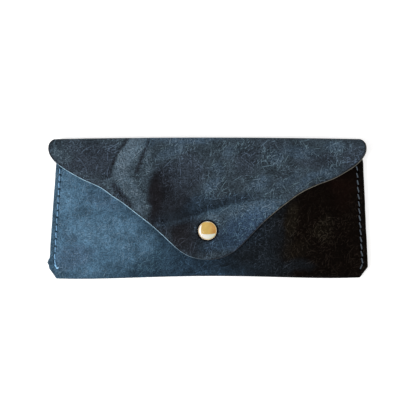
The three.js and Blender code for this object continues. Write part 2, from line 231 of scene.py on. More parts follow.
def flap_underside(x, y):
    from_snap = np.hypot(x - SNAP_X, y - SNAP_Y)
    lift = 1 - smoothstep(from_snap, *SNAP_LIFT_RADII)
    lying = front_top(x, y) + FLAP_LIE + SNAP_LIFT * lift
    run_end = FOLD_CENTRE_Y
    run_start = run_end - FLAP_FOLD_RUN - FLAP_SIDE_RUN * (x / FLAP_HALF_WIDTH) ** 2
    folded = smoothstep(y, run_start, run_end)
    return mix(lying, FOLD_TOP - HIDE, folded)


def top_bow(x, y):
    """How far the fold's line is lifted in the middle and lowered at the ends."""
    across = x / FOLD_HALF_WIDTH
    return smoothstep(y, 8, 36) * (TOP_BOW[0] + TOP_BOW[1] * across ** 2)


def foot_bow(x, y):
    """How far the bottom fold is lifted in the middle, and let down between there and the corners."""
    across = x / FOOT_HALF_WIDTH
    lift, tilt, dip, corner = FOOT_BOW
    shift = lift + tilt * across + dip * across ** 2 + corner * across ** 4
    return smoothstep(-y, 12, 36) * shift


# The cut hide is measured by (x, s). On the front and on the flap s is simply Y; round a fold it
# runs on along the leather.

FRONT_FOLD_S = FOOT_SLOPE_Y[0] + 0.8
FRONT_FOLD_LENGTH = 4.9
FRONT_LIP_LENGTH = 1.4
FOLD_MIDDLE_S = FOLD_CENTRE_Y + FOLD_RADIUS * math.pi / 2


def lean(x, y):
    """The pouch was folded a little out of square, so its sides lean to the right going up."""
    up = (y - BACK_EDGE_Y) / (MOUTH_Y - BACK_EDGE_Y)
    return (LEAN[0] + LEAN[1] * up + SPREAD * x) * (1 - smoothstep(y, 24, 33))


def pouch_place(x, y, z):
    """Where a point of the pouch ends up once its sides lean and its two ends bow."""
    return np.stack([x + lean(x, y), y + top_bow(x, y) + foot_bow(x, y), z], axis=-1)


def front_plan_y(x, s):
    radius = (front_top(x, FOOT_SLOPE_Y[0]) - HIDE) / 2
    centre_y = FOOT_Y + HIDE / 2 + radius
    angle = np.clip((FRONT_FOLD_S - s) / FRONT_FOLD_LENGTH, 0, 1) * math.pi
    on_top = mix(centre_y, MOUTH_Y, (s - FRONT_FOLD_S) / (MOUTH_Y - FRONT_FOLD_S))
    below = (FRONT_FOLD_S - FRONT_FOLD_LENGTH - s) / FRONT_LIP_LENGTH
    on_lip = mix(centre_y, BACK_EDGE_Y, below)
    in_fold = centre_y - radius * np.sin(angle)
    y = np.where(s >= FRONT_FOLD_S, on_top, in_fold)
    return np.where(below > 0, on_lip, y), radius, angle


def front_surface(x, s):
    y, radius, angle = front_plan_y(x, s)
    on_top = front_top(x, y) - HIDE / 2
    in_fold = HIDE / 2 + radius + radius * np.cos(angle)
    return pouch_place(x, y, np.where(s >= FRONT_FOLD_S, on_top, in_fold))


def round_upper_fold(s):
    """How far round the upper fold s has come, and its Y."""
    angle = np.clip((s - FOLD_CENTRE_Y) / FOLD_RADIUS, 0, None)
    return angle, np.where(angle > 0, FOLD_CENTRE_Y + FOLD_RADIUS * np.sin(angle), s)


def back_surface(x, s):
    """The back panel and the lower half of the fold."""
    angle, y = round_upper_fold(s)
    return pouch_place(x, y, HIDE / 2 + FOLD_RADIUS * (1 - np.cos(angle)))


def flap_surface(x, s):
    """The upper half of the fold and the flap."""
    angle, y = round_upper_fold(s)
    in_fold = FOLD_CENTRE_Z + FOLD_RADIUS * np.cos(angle)
    lying = flap_underside(x, y) + HIDE / 2
    return np.stack([x, y + top_bow(x, y), np.where(angle > 0, in_fold, lying)], axis=-1)


# ---------- the seams' places ----------

def seam_x(side, y):
    return side * (pouch_half_width(y) - STITCH_INSET)


def hole_centres(side):
    """The awl holes of one seam, as (x, y)."""
    y = FIRST_HOLE_Y[side] + STITCH_PITCH * np.arange(STITCH_HOLES)
    on_line = np.column_stack([seam_x(side, y), y])
    return np.concatenate([on_line, TURNED_HOLES[side]])


def seam_relief(x, y):
    """How deep the hide is pressed in along the seams, with a pit at each awl hole."""
    sunk = np.zeros_like(x)
    for side in (-1, 1):
        holes = hole_centres(side)
        off = (x - seam_x(side, y)) / GROOVE_WIDTH
        foot = smoothstep(y, FIRST_HOLE_Y[side] - 1.5, FIRST_HOLE_Y[side])
        head = 1 - smoothstep(y, holes[:, 1].max(), holes[:, 1].max() + 1.5)
        from_hole = distance_to(np.column_stack([x, y]), holes) / PIT_RADIUS
        sunk += GROOVE_DEPTH * np.exp(-off ** 2) * foot * head + PIT_DEPTH * np.exp(-from_hole ** 2)
    return sunk


def seam_points():
    """Closely spaced points along both seams, so that grooves and pits are real shape: (x, y)."""
    points = []
    for side in (-1, 1):
        y = np.arange(FIRST_HOLE_Y[side] - 3.4, MOUTH_Y - 0.8, STITCH_PITCH / 10)
        for off in np.arange(-1.4, 1.41, 0.35):
            points.append(np.column_stack([seam_x(side, y) + off, y]))
    return np.concatenate(points)


def snap_relief(x, y):
    """The cap is clinched tight and presses a shallow dish into the flap round its rim."""
    from_rim = np.hypot(x - SNAP_X, y - SNAP_Y) - CAP_RADIUS
    return DISH_DEPTH * (1 - smoothstep(from_rim, -0.2, DISH_WIDTH))


def snap_ring_points():
    """Points in rings round the cap, so that its dish and its painted shadow ring are finely drawn: (x, y).
    """
    points = []
    for i, radius in enumerate(np.arange(CAP_RADIUS - 0.5, CAP_RADIUS + 2.6, 0.38)):
        angles = np.arange(72) * 2 * math.pi / 72 + i * math.pi / 72
        points.append(np.column_stack([SNAP_X + radius * np.cos(angles), SNAP_Y + radius * np.sin(angles)]))
    return np.concatenate(points)


def front_s(x, y):
    """The cut hide's s for a place on the front: the reverse of front_plan_y."""
    centre_y = FOOT_Y + HIDE / 2 + (front_top(x, FOOT_SLOPE_Y[0]) - HIDE) / 2
    return mix(FRONT_FOLD_S, MOUTH_Y, (y - centre_y) / (MOUTH_Y - centre_y))


# ---------- outlines of the cut pieces ----------

def bezier(start, first, second, end, count):
    t = np.linspace(0, 1, count, endpoint=False)[:, None]
    start, first, second, end = (np.array(p, float) for p in (start, first, second, end))
    back = 1 - t
    return back ** 3 * start + 3 * back ** 2 * t * first + 3 * back * t ** 2 * second + t ** 3 * end


def resample(points, spacing):
    """The same line with evenly spaced points, both ends kept."""
    steps = np.hypot(*np.diff(points, axis=0).T)
    along = np.concatenate([[0], np.cumsum(steps)])
    count = max(2, int(round(along[-1] / spacing)) + 1)
    wanted = np.linspace(0, along[-1], count)
    return np.stack([np.interp(wanted, along, points[:, i]) for i in (0, 1)], axis=-1)


def closed_loop(parts):
    """Joins open lines end to end into one loop, dropping the doubled end points."""
    return np.concatenate([part[:-1] for part in parts])


def hand_cut(loop, seed):
    """A knife is never perfectly steady: moves the outline in and out by a hair."""
    moved = loop.copy()
    for i, (x, s) in enumerate(loop):
        place = Vector((x * 0.13, s * 0.13, seed))
        moved[i] += CUT_WANDER * np.array(noise.noise_vector(place))[:2]
    return moved


def with_nub(loop):
    """Adds the small point left where two knife cuts met."""
    moved = loop.copy()
    out = NUB * np.exp(-((loop[:, 1] - NUB_Y) / NUB_WIDTH) ** 2)
    moved[:, 0] -= np.where(loop[:, 0] < 0, out, 0)
    return moved


def both_sides(right, bottom=True):
    """The whole outline from its right side, with straight ends at the top and the bottom."""
    top = resample(np.array([right[-1], right[-1] * (-1, 1)]), SPACING)
    parts = [right, top, (right * (-1, 1))[::-1]]
    if bottom:
        parts.append(resample(np.array([right[0] * (-1, 1), right[0]]), SPACING))
    return closed_loop(parts)


def front_outline():
    side_s = np.linspace(FRONT_FOLD_S - FRONT_FOLD_LENGTH - FRONT_LIP_LENGTH, MOUTH_Y, 160)
    edge_x = np.full_like(side_s, FOOT_HALF_WIDTH)
    plan_y = front_plan_y(edge_x, side_s)[0]
    right = resample(np.stack([trimmed_half_width(plan_y), side_s], axis=-1), RIM_SPACING)
    return with_nub(both_sides(right))


def back_outline():
    side_s = np.linspace(BACK_EDGE_Y, FOLD_CENTRE_Y, 120)
    side = np.stack([trimmed_half_width(side_s), side_s], axis=-1)
    arc_s = np.linspace(FOLD_CENTRE_Y, FOLD_MIDDLE_S, 12)[1:]
    arc_x = mix(side[-1, 0], FOLD_HALF_WIDTH, smoothstep(arc_s, FOLD_CENTRE_Y, FOLD_MIDDLE_S))
    right = np.concatenate([side, np.stack([arc_x, arc_s], axis=-1)])
    return with_nub(both_sides(resample(right, RIM_SPACING)))


def flap_outline():
    start = (0.0, FLAP_DEPTH)
    lines = []
    for first, second, end in FLAP_CURVES:
        lines.append(bezier(start, first, second, end, 60))
        start = end
    lines.append(np.array([start], float))
    right = np.concatenate(lines) * (1, -1) + (0, TOP_Y)
    # the fold's outer face is at TOP_Y: carry the shoulder round it to the middle of the fold
    depth = TOP_Y - right[:, 1]
    reach = HIDE / 2 + FOLD_RADIUS
    angle = np.arcsin(np.clip((reach - depth) / reach, 0, 1))
    right[:, 1] = np.where(angle > 0, FOLD_CENTRE_Y + FOLD_RADIUS * angle, right[:, 1])
    loop = both_sides(resample(right, RIM_SPACING), bottom=False)
    # the wavy edge was cut by eye: the right wing is cut higher than the left
    x = loop[:, 0]
    right_wing = RIGHT_WING * smoothstep(x, 14, 32) * (1 - smoothstep(x, 44, 72))
    left_wing = LEFT_WING * smoothstep(-x, 28, 40) * (1 - smoothstep(-x, 50, 58))
    tip = TIP * (1 - smoothstep(np.abs(x), 10, 24))
    loop[:, 1] += (right_wing + left_wing + tip) * (1 - smoothstep(loop[:, 1], 24, 33))
    return loop


# ---------- making a cut piece ----------

def inward_normals(loop):
    """Unit normals pointing into an anticlockwise loop."""
    before = loop - np.roll(loop, 1, axis=0)
    after = np.roll(loop, -1, axis=0) - loop
    before /= np.linalg.norm(before, axis=1)[:, None]
    after /= np.linalg.norm(after, axis=1)[:, None]
    tangent = before + after
    normal = np.stack([-tangent[:, 1], tangent[:, 0]], axis=-1)
    return normal / np.linalg.norm(normal, axis=1)[:, None]


def inside(points, loop):
    """Which points lie inside the loop, by counting crossings."""
    x, y = points[:, 0][:, None], points[:, 1][:, None]
    ax, ay = loop[:, 0][None], loop[:, 1][None]
    bx, by = np.roll(loop[:, 0], -1)[None], np.roll(loop[:, 1], -1)[None]
    spans = (ay > y) != (by > y)
    with np.errstate(divide="ignore", invalid="ignore"):
        cross_x = ax + (y - ay) * (bx - ax) / (by - ay)
    return (np.sum(spans & (x < cross_x), axis=1) % 2) == 1


def distance_to(points, targets):
    nearest = np.full(len(points), np.inf)
    for start in range(0, len(points), 2000):
        part = points[start:start + 2000]
        gaps = np.hypot(part[:, None, 0] - targets[None, :, 0], part[:, None, 1] - targets[None, :, 1])
        nearest[start:start + 2000] = gaps.min(axis=1)
    return nearest


def fill_points(loop, spacing, kept):
    """Points in a triangle pattern inside the loop, clear of the loop and of the points kept."""
    low, high = loop.min(axis=0), loop.max(axis=0)
    rows = np.arange(low[1], high[1], spacing * math.sqrt(3) / 2)
    points = []
    for i, s in enumerate(rows):
        shift = spacing / 2 if i % 2 else 0
        xs = np.arange(low[0] + shift, high[0], spacing)
        points.append(np.stack([xs, np.full_like(xs, s)], axis=-1))
    points = np.concatenate(points)
    points = points[inside(points, loop)]
    points = points[distance_to(points, loop) > spacing * 0.6]
    if len(kept):
        points = points[distance_to(points, kept) > spacing * 0.6]
    return points


def triangulate(loop, kept):
    """The loop filled with even triangles: (points, triangles, indices of the loop's points)."""
    filled = fill_points(loop, SPACING, kept)
    parts = [loop, kept, filled] if len(kept) else [loop, filled]
    points = np.concatenate(parts)
    coords = [Vector(p) for p in points]
    result = delaunay_2d_cdt(coords, [], [list(range(len(loop)))], 1, 1e-5, True)
    made, faces, origins = np.array([tuple(v) for v in result[0]]), result[2], result[3]
    place = {}
    for i, sources in enumerate(origins):
        for source in sources:
            place[source] = i
    rim = [place[i] for i in range(len(loop))]
    faces = np.array(faces)
    return made, faces[inside(made[faces].mean(axis=1), loop)], rim


def bent(surface, x, s, height):
    """Points at `height` above the middle of the hide once it is bent."""
    step = 0.02
    middle = surface(x, s)
    across = surface(x + step, s) - surface(x - step, s)
    along = surface(x, s + step) - surface(x, s - step)
    normal = np.cross(across, along)
    normal /= np.linalg.norm(normal, axis=-1)[..., None]
    return middle + normal * height[..., None]


def edge_profile():
    """The cut edge's section, from the grain face round to the flesh face: (inset, height) pairs."""
    half = HIDE / 2
    profile = []
    for i in range(1, EDGE_STEPS + 1):
        angle = math.pi / 2 * i / EDGE_STEPS
        profile.append((EDGE_ROUND * (1 - math.sin(angle)), half - EDGE_ROUND * (1 - math.cos(angle))))
    lower = [(inset, -height) for inset, height in reversed(profile)]
    return profile + lower


def cut_piece(name, outline, surface, joined, kept=(), grain_relief=None, flip=False):
    """A closed sheet of hide with rounded edges, bent onto its surface.

    `joined` says which outline points carry on into a neighbour and stay square. `grain_relief`
    gives how deep the grain face is pressed in. `flip` puts the grain on the underside."""
    kept = np.array(kept, float).reshape(-1, 2)
    square = joined(outline)
    rounding = np.where(square, 0.0, 1.0)
    outline = np.where(square[:, None], outline, hand_cut(outline, len(outline)))
    normals = inward_normals(outline)
    inner = outline + normals * (EDGE_ROUND * rounding)[:, None]
    if len(kept):
        kept = kept[inside(kept, inner)]
        kept = kept[distance_to(kept, inner) > 0.3]
    points, triangles, rim = triangulate(inner, kept)
    x, s = points.T
    half = np.full(len(points), HIDE / 2)
    sunk = grain_relief(x, s) if grain_relief else 0.0
    up = half - (0.0 if flip else sunk)
    down = -half + (sunk if flip else 0.0)
    layers = [bent(surface, x, s, up), bent(surface, x, s, down)]
    flat = [np.column_stack([points, up]), np.column_stack([points, down])]
    profile = edge_profile()
    for inset, height in profile:
        ring = outline + normals * (inset * rounding)[:, None]
        heights = np.full(len(ring), height)
        layers.append(bent(surface, *ring.T, heights))
        flat.append(np.column_stack([ring, heights]))

    count, around = len(points), len(outline)
    grain, flesh, edge = (1, 0, 2) if flip else (0, 1, 2)
    faces = [tuple(t) for t in triangles] + [tuple(count + t[::-1]) for t in triangles]
    slots = [grain] * len(triangles) + [flesh] * len(triangles)
    rings = [np.array(rim)]
    rings += [2 * count + i * around + np.arange(around) for i in range(len(profile))]
    rings.append(np.array(rim) + count)
    for level in range(len(rings) - 1):
        top, bottom = rings[level], rings[level + 1]
        for i in range(around):
            j = (i + 1) % around
            faces.append((top[j], top[i], bottom[i], bottom[j]))
            slots.append(edge)
    return hide_object(name, np.concatenate(layers) * MM, faces, slots, np.concatenate(flat))


def hide_object(name, vertices, faces, slots, flat_places):
    mesh = bpy.data.meshes.new(name)
    mesh.from_pydata([tuple(v) for v in vertices], [], [[int(i) for i in f] for f in faces])
    mesh.polygons.foreach_set("material_index", slots)
    mesh.polygons.foreach_set("use_smooth", [True] * len(faces))
    place = mesh.attributes.new("hide_mm", "FLOAT_VECTOR", "POINT")
    place.data.foreach_set("vector", flat_places.astype(np.float32).ravel())
    mesh.set_sharp_from_angle(angle=math.radians(50))
    mesh.update()
    return linked(name, mesh)


# ---------- camera, floor and light ----------

def studio():
    scene = bpy.context.scene
    scene.view_settings.view_transform = "Standard"
    camera = linked("camera", bpy.data.cameras.new("camera"))
    camera.data.lens = 100
    camera.data.sensor_width = 36
    distance = FIELD * camera.data.lens / camera.data.sensor_width
    camera.location = (*LOOKED_AT[:2], LOOKED_AT[2] + distance)
    scene.camera = camera

    bpy.ops.mesh.primitive_plane_add(size=3, location=(0, 0, -0.0001))
    floor = bpy.context.object
    floor.name = "floor"
    white, n, shader = new_material("floor_white")
    n.fill(shader, {
        "Base Color": (0.92, 0.92, 0.92, 1), "Roughness": 0.9,
        "Emission Color": (1, 1, 1, 1), "Emission Strength": FLOOR_GLOW})
    floor.data.materials.append(white)

    world = bpy.data.worlds.new("world")
    scene.world = world
    world.use_nodes = True
    Nodes(world.node_tree).fill(world.node_tree.nodes["Background"], {
        "Color": (1, 1, 1, 1), "Strength": WORLD_LIGHT})

    light("key_left", (-0.55, -0.22, 0.5), 0.45, 5.2)
    light("fill_right", (0.45, 0.35, 0.6), 0.7, 2.0)
    card("warm_card", (0.25, 0.25, 0.4), (1.7, 1.7), (0.74, 0.52, 0.17), (0.56, 0.3, 0.09), 1.0)
    card("white_card_left", (-0.745, 0.28, 0.3), (0.91, 0.9), (1, 1, 1), (1, 1, 1), 1.3)
    card("white_card_front", (0.1, -0.63, 0.3), (1.6, 0.93), (1, 1, 1), (0.72, 0.8, 0.72), 1.0)


def light(name, place, size, power):
    data = bpy.data.lights.new(name, "AREA")
    data.shape = "DISK"
    data.size = size
    data.energy = power
    lamp = linked(name, data)
    lamp.location = place
    lamp.rotation_euler = (-Vector(place)).to_track_quat("-Z", "Y").to_euler()


def card(name, place, size, left_tone, right_tone, strength):
    """A glowing card that only reflections see, to give the polished snap something to mirror."""
    bpy.ops.mesh.primitive_plane_add(size=1, location=place)
    sheet = bpy.context.object
    sheet.name = name
    sheet.scale = (*size, 1)
    material = bpy.data.materials.new(name)
    material.use_nodes = True
    material.node_tree.nodes.clear()
    n = Nodes(material.node_tree)
    share = n.ramp(n.split(n.own_place())["X"], -0.2, 0.15)
    glow = n.add("ShaderNodeEmission", {
        "Color": n.blend(share, (*left_tone, 1), (*right_tone, 1)), "Strength": strength})
    n.add("ShaderNodeOutputMaterial", {"Surface": glow.outputs[0]})
    sheet.data.materials.append(material)
    for kind in ("camera", "diffuse", "shadow", "transmission"):
        setattr(sheet, "visible_" + kind, False)


# ---------- dyeing the hide, with some painted shade and highlight ---

def linear(code):
    """A '#rrggbb' tone as linear light."""
    values = [int(code[i:i + 2], 16) / 255 for i in (1, 3, 5)]
    return np.array([v / 12.92 if v <= 0.04045 else ((v + 0.055) / 1.055) ** 2.4 for v in values])


def rgba(code):
    return (*linear(code), 1)


TONES = {name: linear(code) for name, code in {
    "charcoal": "#333a45", "slate": "#39454f", "ash": "#516472", "pale_ash": "#607382",
    "bloom": "#4c6276", "steel": "#4a6a82", "pale_steel": "#5a7d97", "plum_steel": "#496078",
    "denim": "#3c5063", "indigo": "#344a66", "dusk": "#2f4557", "navy": "#263848",
    "night": "#1b2630", "coal": "#161c22", "ink": "#1f232a", "soot": "#1b1b20",
    "umber": "#080403", "russet": "#120705", "olive": "#17130d",
}.items()}

# the ground tones from left to right, as (x, tone)
FRONT_GROUND = ((-46, "steel"), (-27, "dusk"), (-8, "navy"), (12, "night"), (34, "coal"), (48, "umber"))
FLAP_GROUND = ((-60, "slate"), (60, "slate"))
BACK_GROUND = ((-60, "navy"), (0, "slate"), (60, "denim"))

# each stain: tone, centre (x, s), radii, turn in degrees, strength
FLAP_STAINS = (
    ("charcoal", -62, 26, 24, 12, -12, 0.75),
    ("ash", -77, 29, 8, 5, 10, 0.4),
    ("charcoal", -14, 16, 16, 12, 40, 0.7),
    ("ink", -24, 3, 24, 9, 84, 1.0),
    ("soot", -28, 4, 17, 5, 86, 0.95),
    ("ink", -13, -2, 14, 14, 0, 0.95),
    ("soot", -14, -15, 13, 8, -42, 0.95),
    ("ink", -4, -21, 13, 7, 0, 0.6),
    ("navy", -2, 2, 12, 7, 20, 0.55),
    ("bloom", 2, 12, 8, 5, 40, 0.55),
    ("bloom", 4, 20, 5, 4, 0, 0.4),
    ("navy", 16, 4, 16, 4, 15, 0.45),
    ("denim", 22, -5, 24, 9, 26, 0.6),
    ("indigo", 18, -12, 19, 10, 32, 0.6),
    # painted highlight: this pale stain along the fold's top stands in for the light the fold catches
    ("bloom", -12, 38, 30, 6, 0, 0.9),
    ("bloom", -20, 29, 9, 4, 25, 0.45),
    ("charcoal", 36, 33, 18, 5, -5, 0.35),
    ("charcoal", 21, 24, 9, 6, 50, 0.6),
    ("charcoal", 43, 17, 12, 5, 20, 0.25),
    ("bloom", 40, 13, 16, 3, 25, 0.35),
    ("bloom", 27, 13, 8, 4, 30, 0.6),
    ("bloom", 51, 30, 10, 4, -15, 0.55),
    ("bloom", 54, 14, 12, 3, 28, 0.6),
    ("bloom", 36, 27, 7, 4, 20, 0.45),
    ("bloom", 12, 28, 6, 4, 30, 0.3),
    ("charcoal", 60, 25, 14, 5, 0, 0.55),
    ("bloom", 68, 31, 9, 4, 10, 0.45),
    ("charcoal", 79, 27, 8, 9, 0, 0.6),
    ("bloom", 66, 19, 7, 3, 25, 0.4),
    ("navy", 6, -20, 12, 6, 10, 0.45),
)

FRONT_STAINS = (
    ("pale_steel", -78, 12, 7, 14, 0, 0.7),
    ("pale_steel", -63, -12, 12, 10, -20, 0.55),
    ("pale_steel", -50, -19, 10, 7, 20, 0.35),
    ("pale_steel", -44, -13, 9, 12, 30, 0.4),
    ("pale_steel", -33, -18, 9, 5, 30, 0.35),
    ("plum_steel", -58, 4, 12, 6, -30, 0.35),
    ("dusk", -62, 10, 3, 9, 8, 0.45),
    ("dusk", -67, 0, 4, 6, 30, 0.3),
    ("plum_steel", -72, -25, 13, 7, 10, 0.6),
    ("denim", -74, -15, 8, 3, -20, 0.5),
    ("coal", 22, -25, 14, 7, 20, 0.95),
    ("navy", -14, -36, 36, 4, 0, 0.85),
    ("dusk", -50, -37, 30, 5, 5, 0.6),
    ("russet", 70, 8, 12, 14, 0, 0.9),
    ("dusk", -38, -32, 14, 6, 5, 0.6),
    ("dusk", -79, -34, 9, 4, -10, 0.5),
    ("umber", 58, -2, 20, 14, 0, 0.8),
    ("olive", 44, -8, 4, 11, 5, 0.8),
    ("olive", 61, -12, 8, 7, 20, 0.8),
    ("olive", 48, -23, 8, 6, 0, 0.5),
    ("coal", 45, -31, 14, 4, 0, 0.6),
)

# bands rubbed or creased into the flap: tone, strength, half width and the line followed, as (x, s)
FLAP_BANDS = (
    ("ash", 0.9, 7.5, ((-36, 40), (-38.5, 34), (-43.5, 28), (-46, 21), (-45.5, 15), (-41, 8), (-36.5, -1))),
    ("pale_ash", 0.75, 5.0, ((-37, 38), (-41, 32), (-45, 26), (-46.5, 18))),
    ("slate", 0.45, 6.5, ((-40, 7), (-35, -2))),
    ("soot", 0.8, 1.5, ((-43.3, 36), (-47.5, 30), (-50.5, 23))),
    ("soot", 0.5, 1.5, ((-50.5, 24), (-53, 16))),
    ("soot", 0.65, 1.5, ((-30.5, 36), (-35.5, 26), (-38.5, 19.5))),
    ("ash", 0.5, 2.2, ((-30, 31), (-32.5, 25), (-31.5, 20))),
    ("ink", 0.85, 2.6, ((-50, 11.5), (-45, 6), (-41.5, 1.5))),
)

BACK_STAINS = (
    ("charcoal", -40, 12, 36, 20, 20, 0.8),
    ("steel", 52, -14, 34, 22, 10, 0.7),
    ("bloom", 20, 20, 26, 8, -12, 0.6),
    ("night", -62, -24, 26, 14, 0, 0.8),
    ("ink", -8, -4, 10, 30, 15, 0.6),
    ("plum_steel", 30, 4, 18, 10, 30, 0.5),
)

# where the flap was rubbed: below this line, which rises to the right in a lazy S
RUBBED_LINE = ((-30, -8.7), (-20, -7.2), (-9.5, -4.7), (2, -1.2), (12, 2.0), (25, 4.0), (40, 4.8))

# how scuffed the grain is: each patch is an amount, centre (x, s), radii and turn in degrees
FLAP_SCUFFS = (
    (0.5, -16, 3, 13, 12, 0),
    (0.3, -28, 8, 4.5, 18, 0),
    (1.5, 3, 7, 7, 5, 30),
    (1.4, 7, 18, 5, 6, 0),
    (1.3, 34, 27, 12, 8, 10),
    (1.3, -34, 27, 5, 9, 20),
    (0.8, 62, 18, 14, 8, 20),
    (1.3, 70, 26, 7, 5, 30),
)
FRONT_SCUFFS = (
    (0.5, -50, -5, 48, 60, 0),
    (0.6, 0, -30, 30, 12, 0),
    (0.35, 66, 10, 22, 13, 20),
    (1.7, 60, -12, 12, 9, 20),
    (1.5, 46, -16, 6, 14, 0),
)
BACK_SCUFFS = (
    (0.6, 10, -10, 40, 20, 10),
)


def toned(colour, tone, share):
    """The colour of each point, taken towards a tone by its own share."""
    return mix(colour, tone, share[:, None])


def ground_tone(ground, x):
    places = [place for place, tone in ground]
    tones = np.array([TONES[tone] for place, tone in ground])
    return np.column_stack([np.interp(x, places, tones[:, i]) for i in range(3)])


def from_line(x, s, line):
    """Distance to a line drawn through the given points."""
    nearest = np.full(len(x), np.inf)
    for (ax, ay), (bx, by) in zip(line[:-1], line[1:]):
        length_squared = (bx - ax) ** 2 + (by - ay) ** 2
        along = np.clip(((x - ax) * (bx - ax) + (s - ay) * (by - ay)) / length_squared, 0, 1)
        gap = np.hypot(x - ax - along * (bx - ax), s - ay - along * (by - ay))
        nearest = np.minimum(nearest, gap)
    return nearest


def banded(colour, x, s, bands):
    for tone, strength, half_width, line in bands:
        share = strength * (1 - smoothstep(from_line(x, s, line), half_width * 0.3, half_width))
        colour = toned(colour, TONES[tone], share)
    return colour


def rubbed(colour, x, s):
    """The rubbed part of the flap: paler, with a crisp upper limit, and a painted shadow just above it."""
    line_x, line_s = zip(*RUBBED_LINE)
    below = np.interp(x, line_x, line_s) - s
    reach = smoothstep(x, -34, -26) * (1 - smoothstep(x, 44, 56))
    above = (1 - smoothstep(-below, 0.5, 7)) * smoothstep(-below, -0.5, 0.3)
    # painted shadow: a dark band is painted along the top of the rubbed line
    shadow = 0.5 * above * reach * (1 - smoothstep(x, 8, 34))
    colour = toned(colour, TONES["night"], shadow)
    strongly = smoothstep(x, -10, 4)
    share = smoothstep(below, -0.3, 0.7) * (1 - smoothstep(below, 1.0, 4 + 8 * strongly))
    share *= reach * (0.7 + 0.3 * strongly)
    return toned(colour, colour * 1.12 + 0.14 * TONES["pale_steel"], share)


def finished_back(colour, x, s):
    """The back's dye runs on into the front's at the foot and into the flap's at the fold."""
    foot = 1 - smoothstep(s, BACK_EDGE_Y, BACK_EDGE_Y + 15)
    colour = toned(colour, ground_tone(FRONT_GROUND, x), foot)
    top = smoothstep(s, TOP_Y - 12, TOP_Y)
    colour = toned(colour, ground_tone(FLAP_GROUND, x), top)
    return seam_margin_tone_and_hole_shade(colour, x, s)


def shadow_ring_round_snap(colour, x, s):
    """A painted shadow: a thin dark ring painted round the cap."""
    from_rim = np.hypot(x - SNAP_X, s - SNAP_Y) - CAP_RADIUS
    # painted shadow: the hide is taken towards umber in a thin ring just outside the cap's rim
    share = 0.95 * (1 - smoothstep(from_rim, 0.4, 1.3))
    return toned(colour, TONES["umber"], share)


def burnished(colour, x, s, outline, tone, width, strength):
    """Darkened along the cut, where the edge was rubbed down."""
    from_edge = distance_to(np.column_stack([x, s]), outline)
    share = strength * (1 - smoothstep(from_edge, width * 0.4, width))
    return toned(colour, TONES[tone], share)


def seam_margin_tone_and_hole_shade(colour, x, y):
    """Dark in the awl holes, which is painted shade, and a little deeper in tone along the grooves and
    margins.
    """
    holes = np.concatenate([hole_centres(-1), hole_centres(1)])
    in_hole = np.exp(-(distance_to(np.column_stack([x, y]), holes) / 0.6) ** 2)
    outside = smoothstep(np.abs(x) - np.abs(seam_x(1, y)), -0.6, 0.6)
    on_left = outside[:, None] * TONES["dusk"] * (x < 0)[:, None]
    colour = colour * (1 - 0.3 * outside[:, None]) + 0.12 * on_left
    # painted shade: each awl hole is darkened
    return colour * (1 - 0.85 * in_hole[:, None])


def in_patch(x, s, centre_x, centre_s, radius_x, radius_s, turn):
    """How far out of an oval patch each point is: 0 at its middle, 1 at its rim."""
    angle = math.radians(turn)
    dx, ds = x - centre_x, s - centre_s
    u = (dx * math.cos(angle) + ds * math.sin(angle)) / radius_x
    v = (ds * math.cos(angle) - dx * math.sin(angle)) / radius_s
    return np.hypot(u, v)


# how far the dye's patches drift from their plan, as (closeness, shift of the seed, size)
DRIFTS = ((0.07, 0, 3.5), (0.25, 9, 1.2))


def dye(piece, ground, stains, bands, scuffs, seed, finish):
    """Paints the hide's uneven dye and its scuffing onto the piece's points, with the painted shade and
    highlight that its stains and finish carry.
    """
    mesh = piece.data
    places = np.empty(len(mesh.vertices) * 3, np.float32)
    mesh.attributes["hide_mm"].data.foreach_get("vector", places)
    places = places.reshape(-1, 3)[:, :2].astype(float)
    drift = np.array([
        sum(np.array(noise.noise_vector(Vector((x * close, s * close, seed + shift)))) * size
            for close, shift, size in DRIFTS)
        for x, s in places])
    x, s = (places + drift[:, :2]).T
    cloud = 0.05 * drift[:, 2]
    colour = ground_tone(ground, x)
    for tone, *patch, strength in stains:
        share = strength * smoothstep(1.15 - in_patch(x, s, *patch) + cloud, 0, 0.75)
        colour = toned(colour, TONES[tone], share)
    colour = banded(colour, *(places + 0.3 * drift[:, :2]).T, bands)
    colour = finish(colour, *places.T)
    scuffed = np.ones(len(x))
    for amount, *patch in scuffs:
        scuffed = mix(scuffed, amount, smoothstep(1.2 - in_patch(x, s, *patch), 0, 0.6))
    mesh.attributes.new("scuffed", "FLOAT", "POINT").data.foreach_set("value", scuffed.astype(np.float32))
    # the dye attribute also carries the painted shade and highlight
    shade = mesh.attributes.new("dye", "FLOAT_COLOR", "POINT")
    colour = np.column_stack([colour * DYE_LEVEL, np.ones(len(colour))])
    shade.data.foreach_set("color", colour.astype(np.float32).ravel())


# ---------- materials ----------

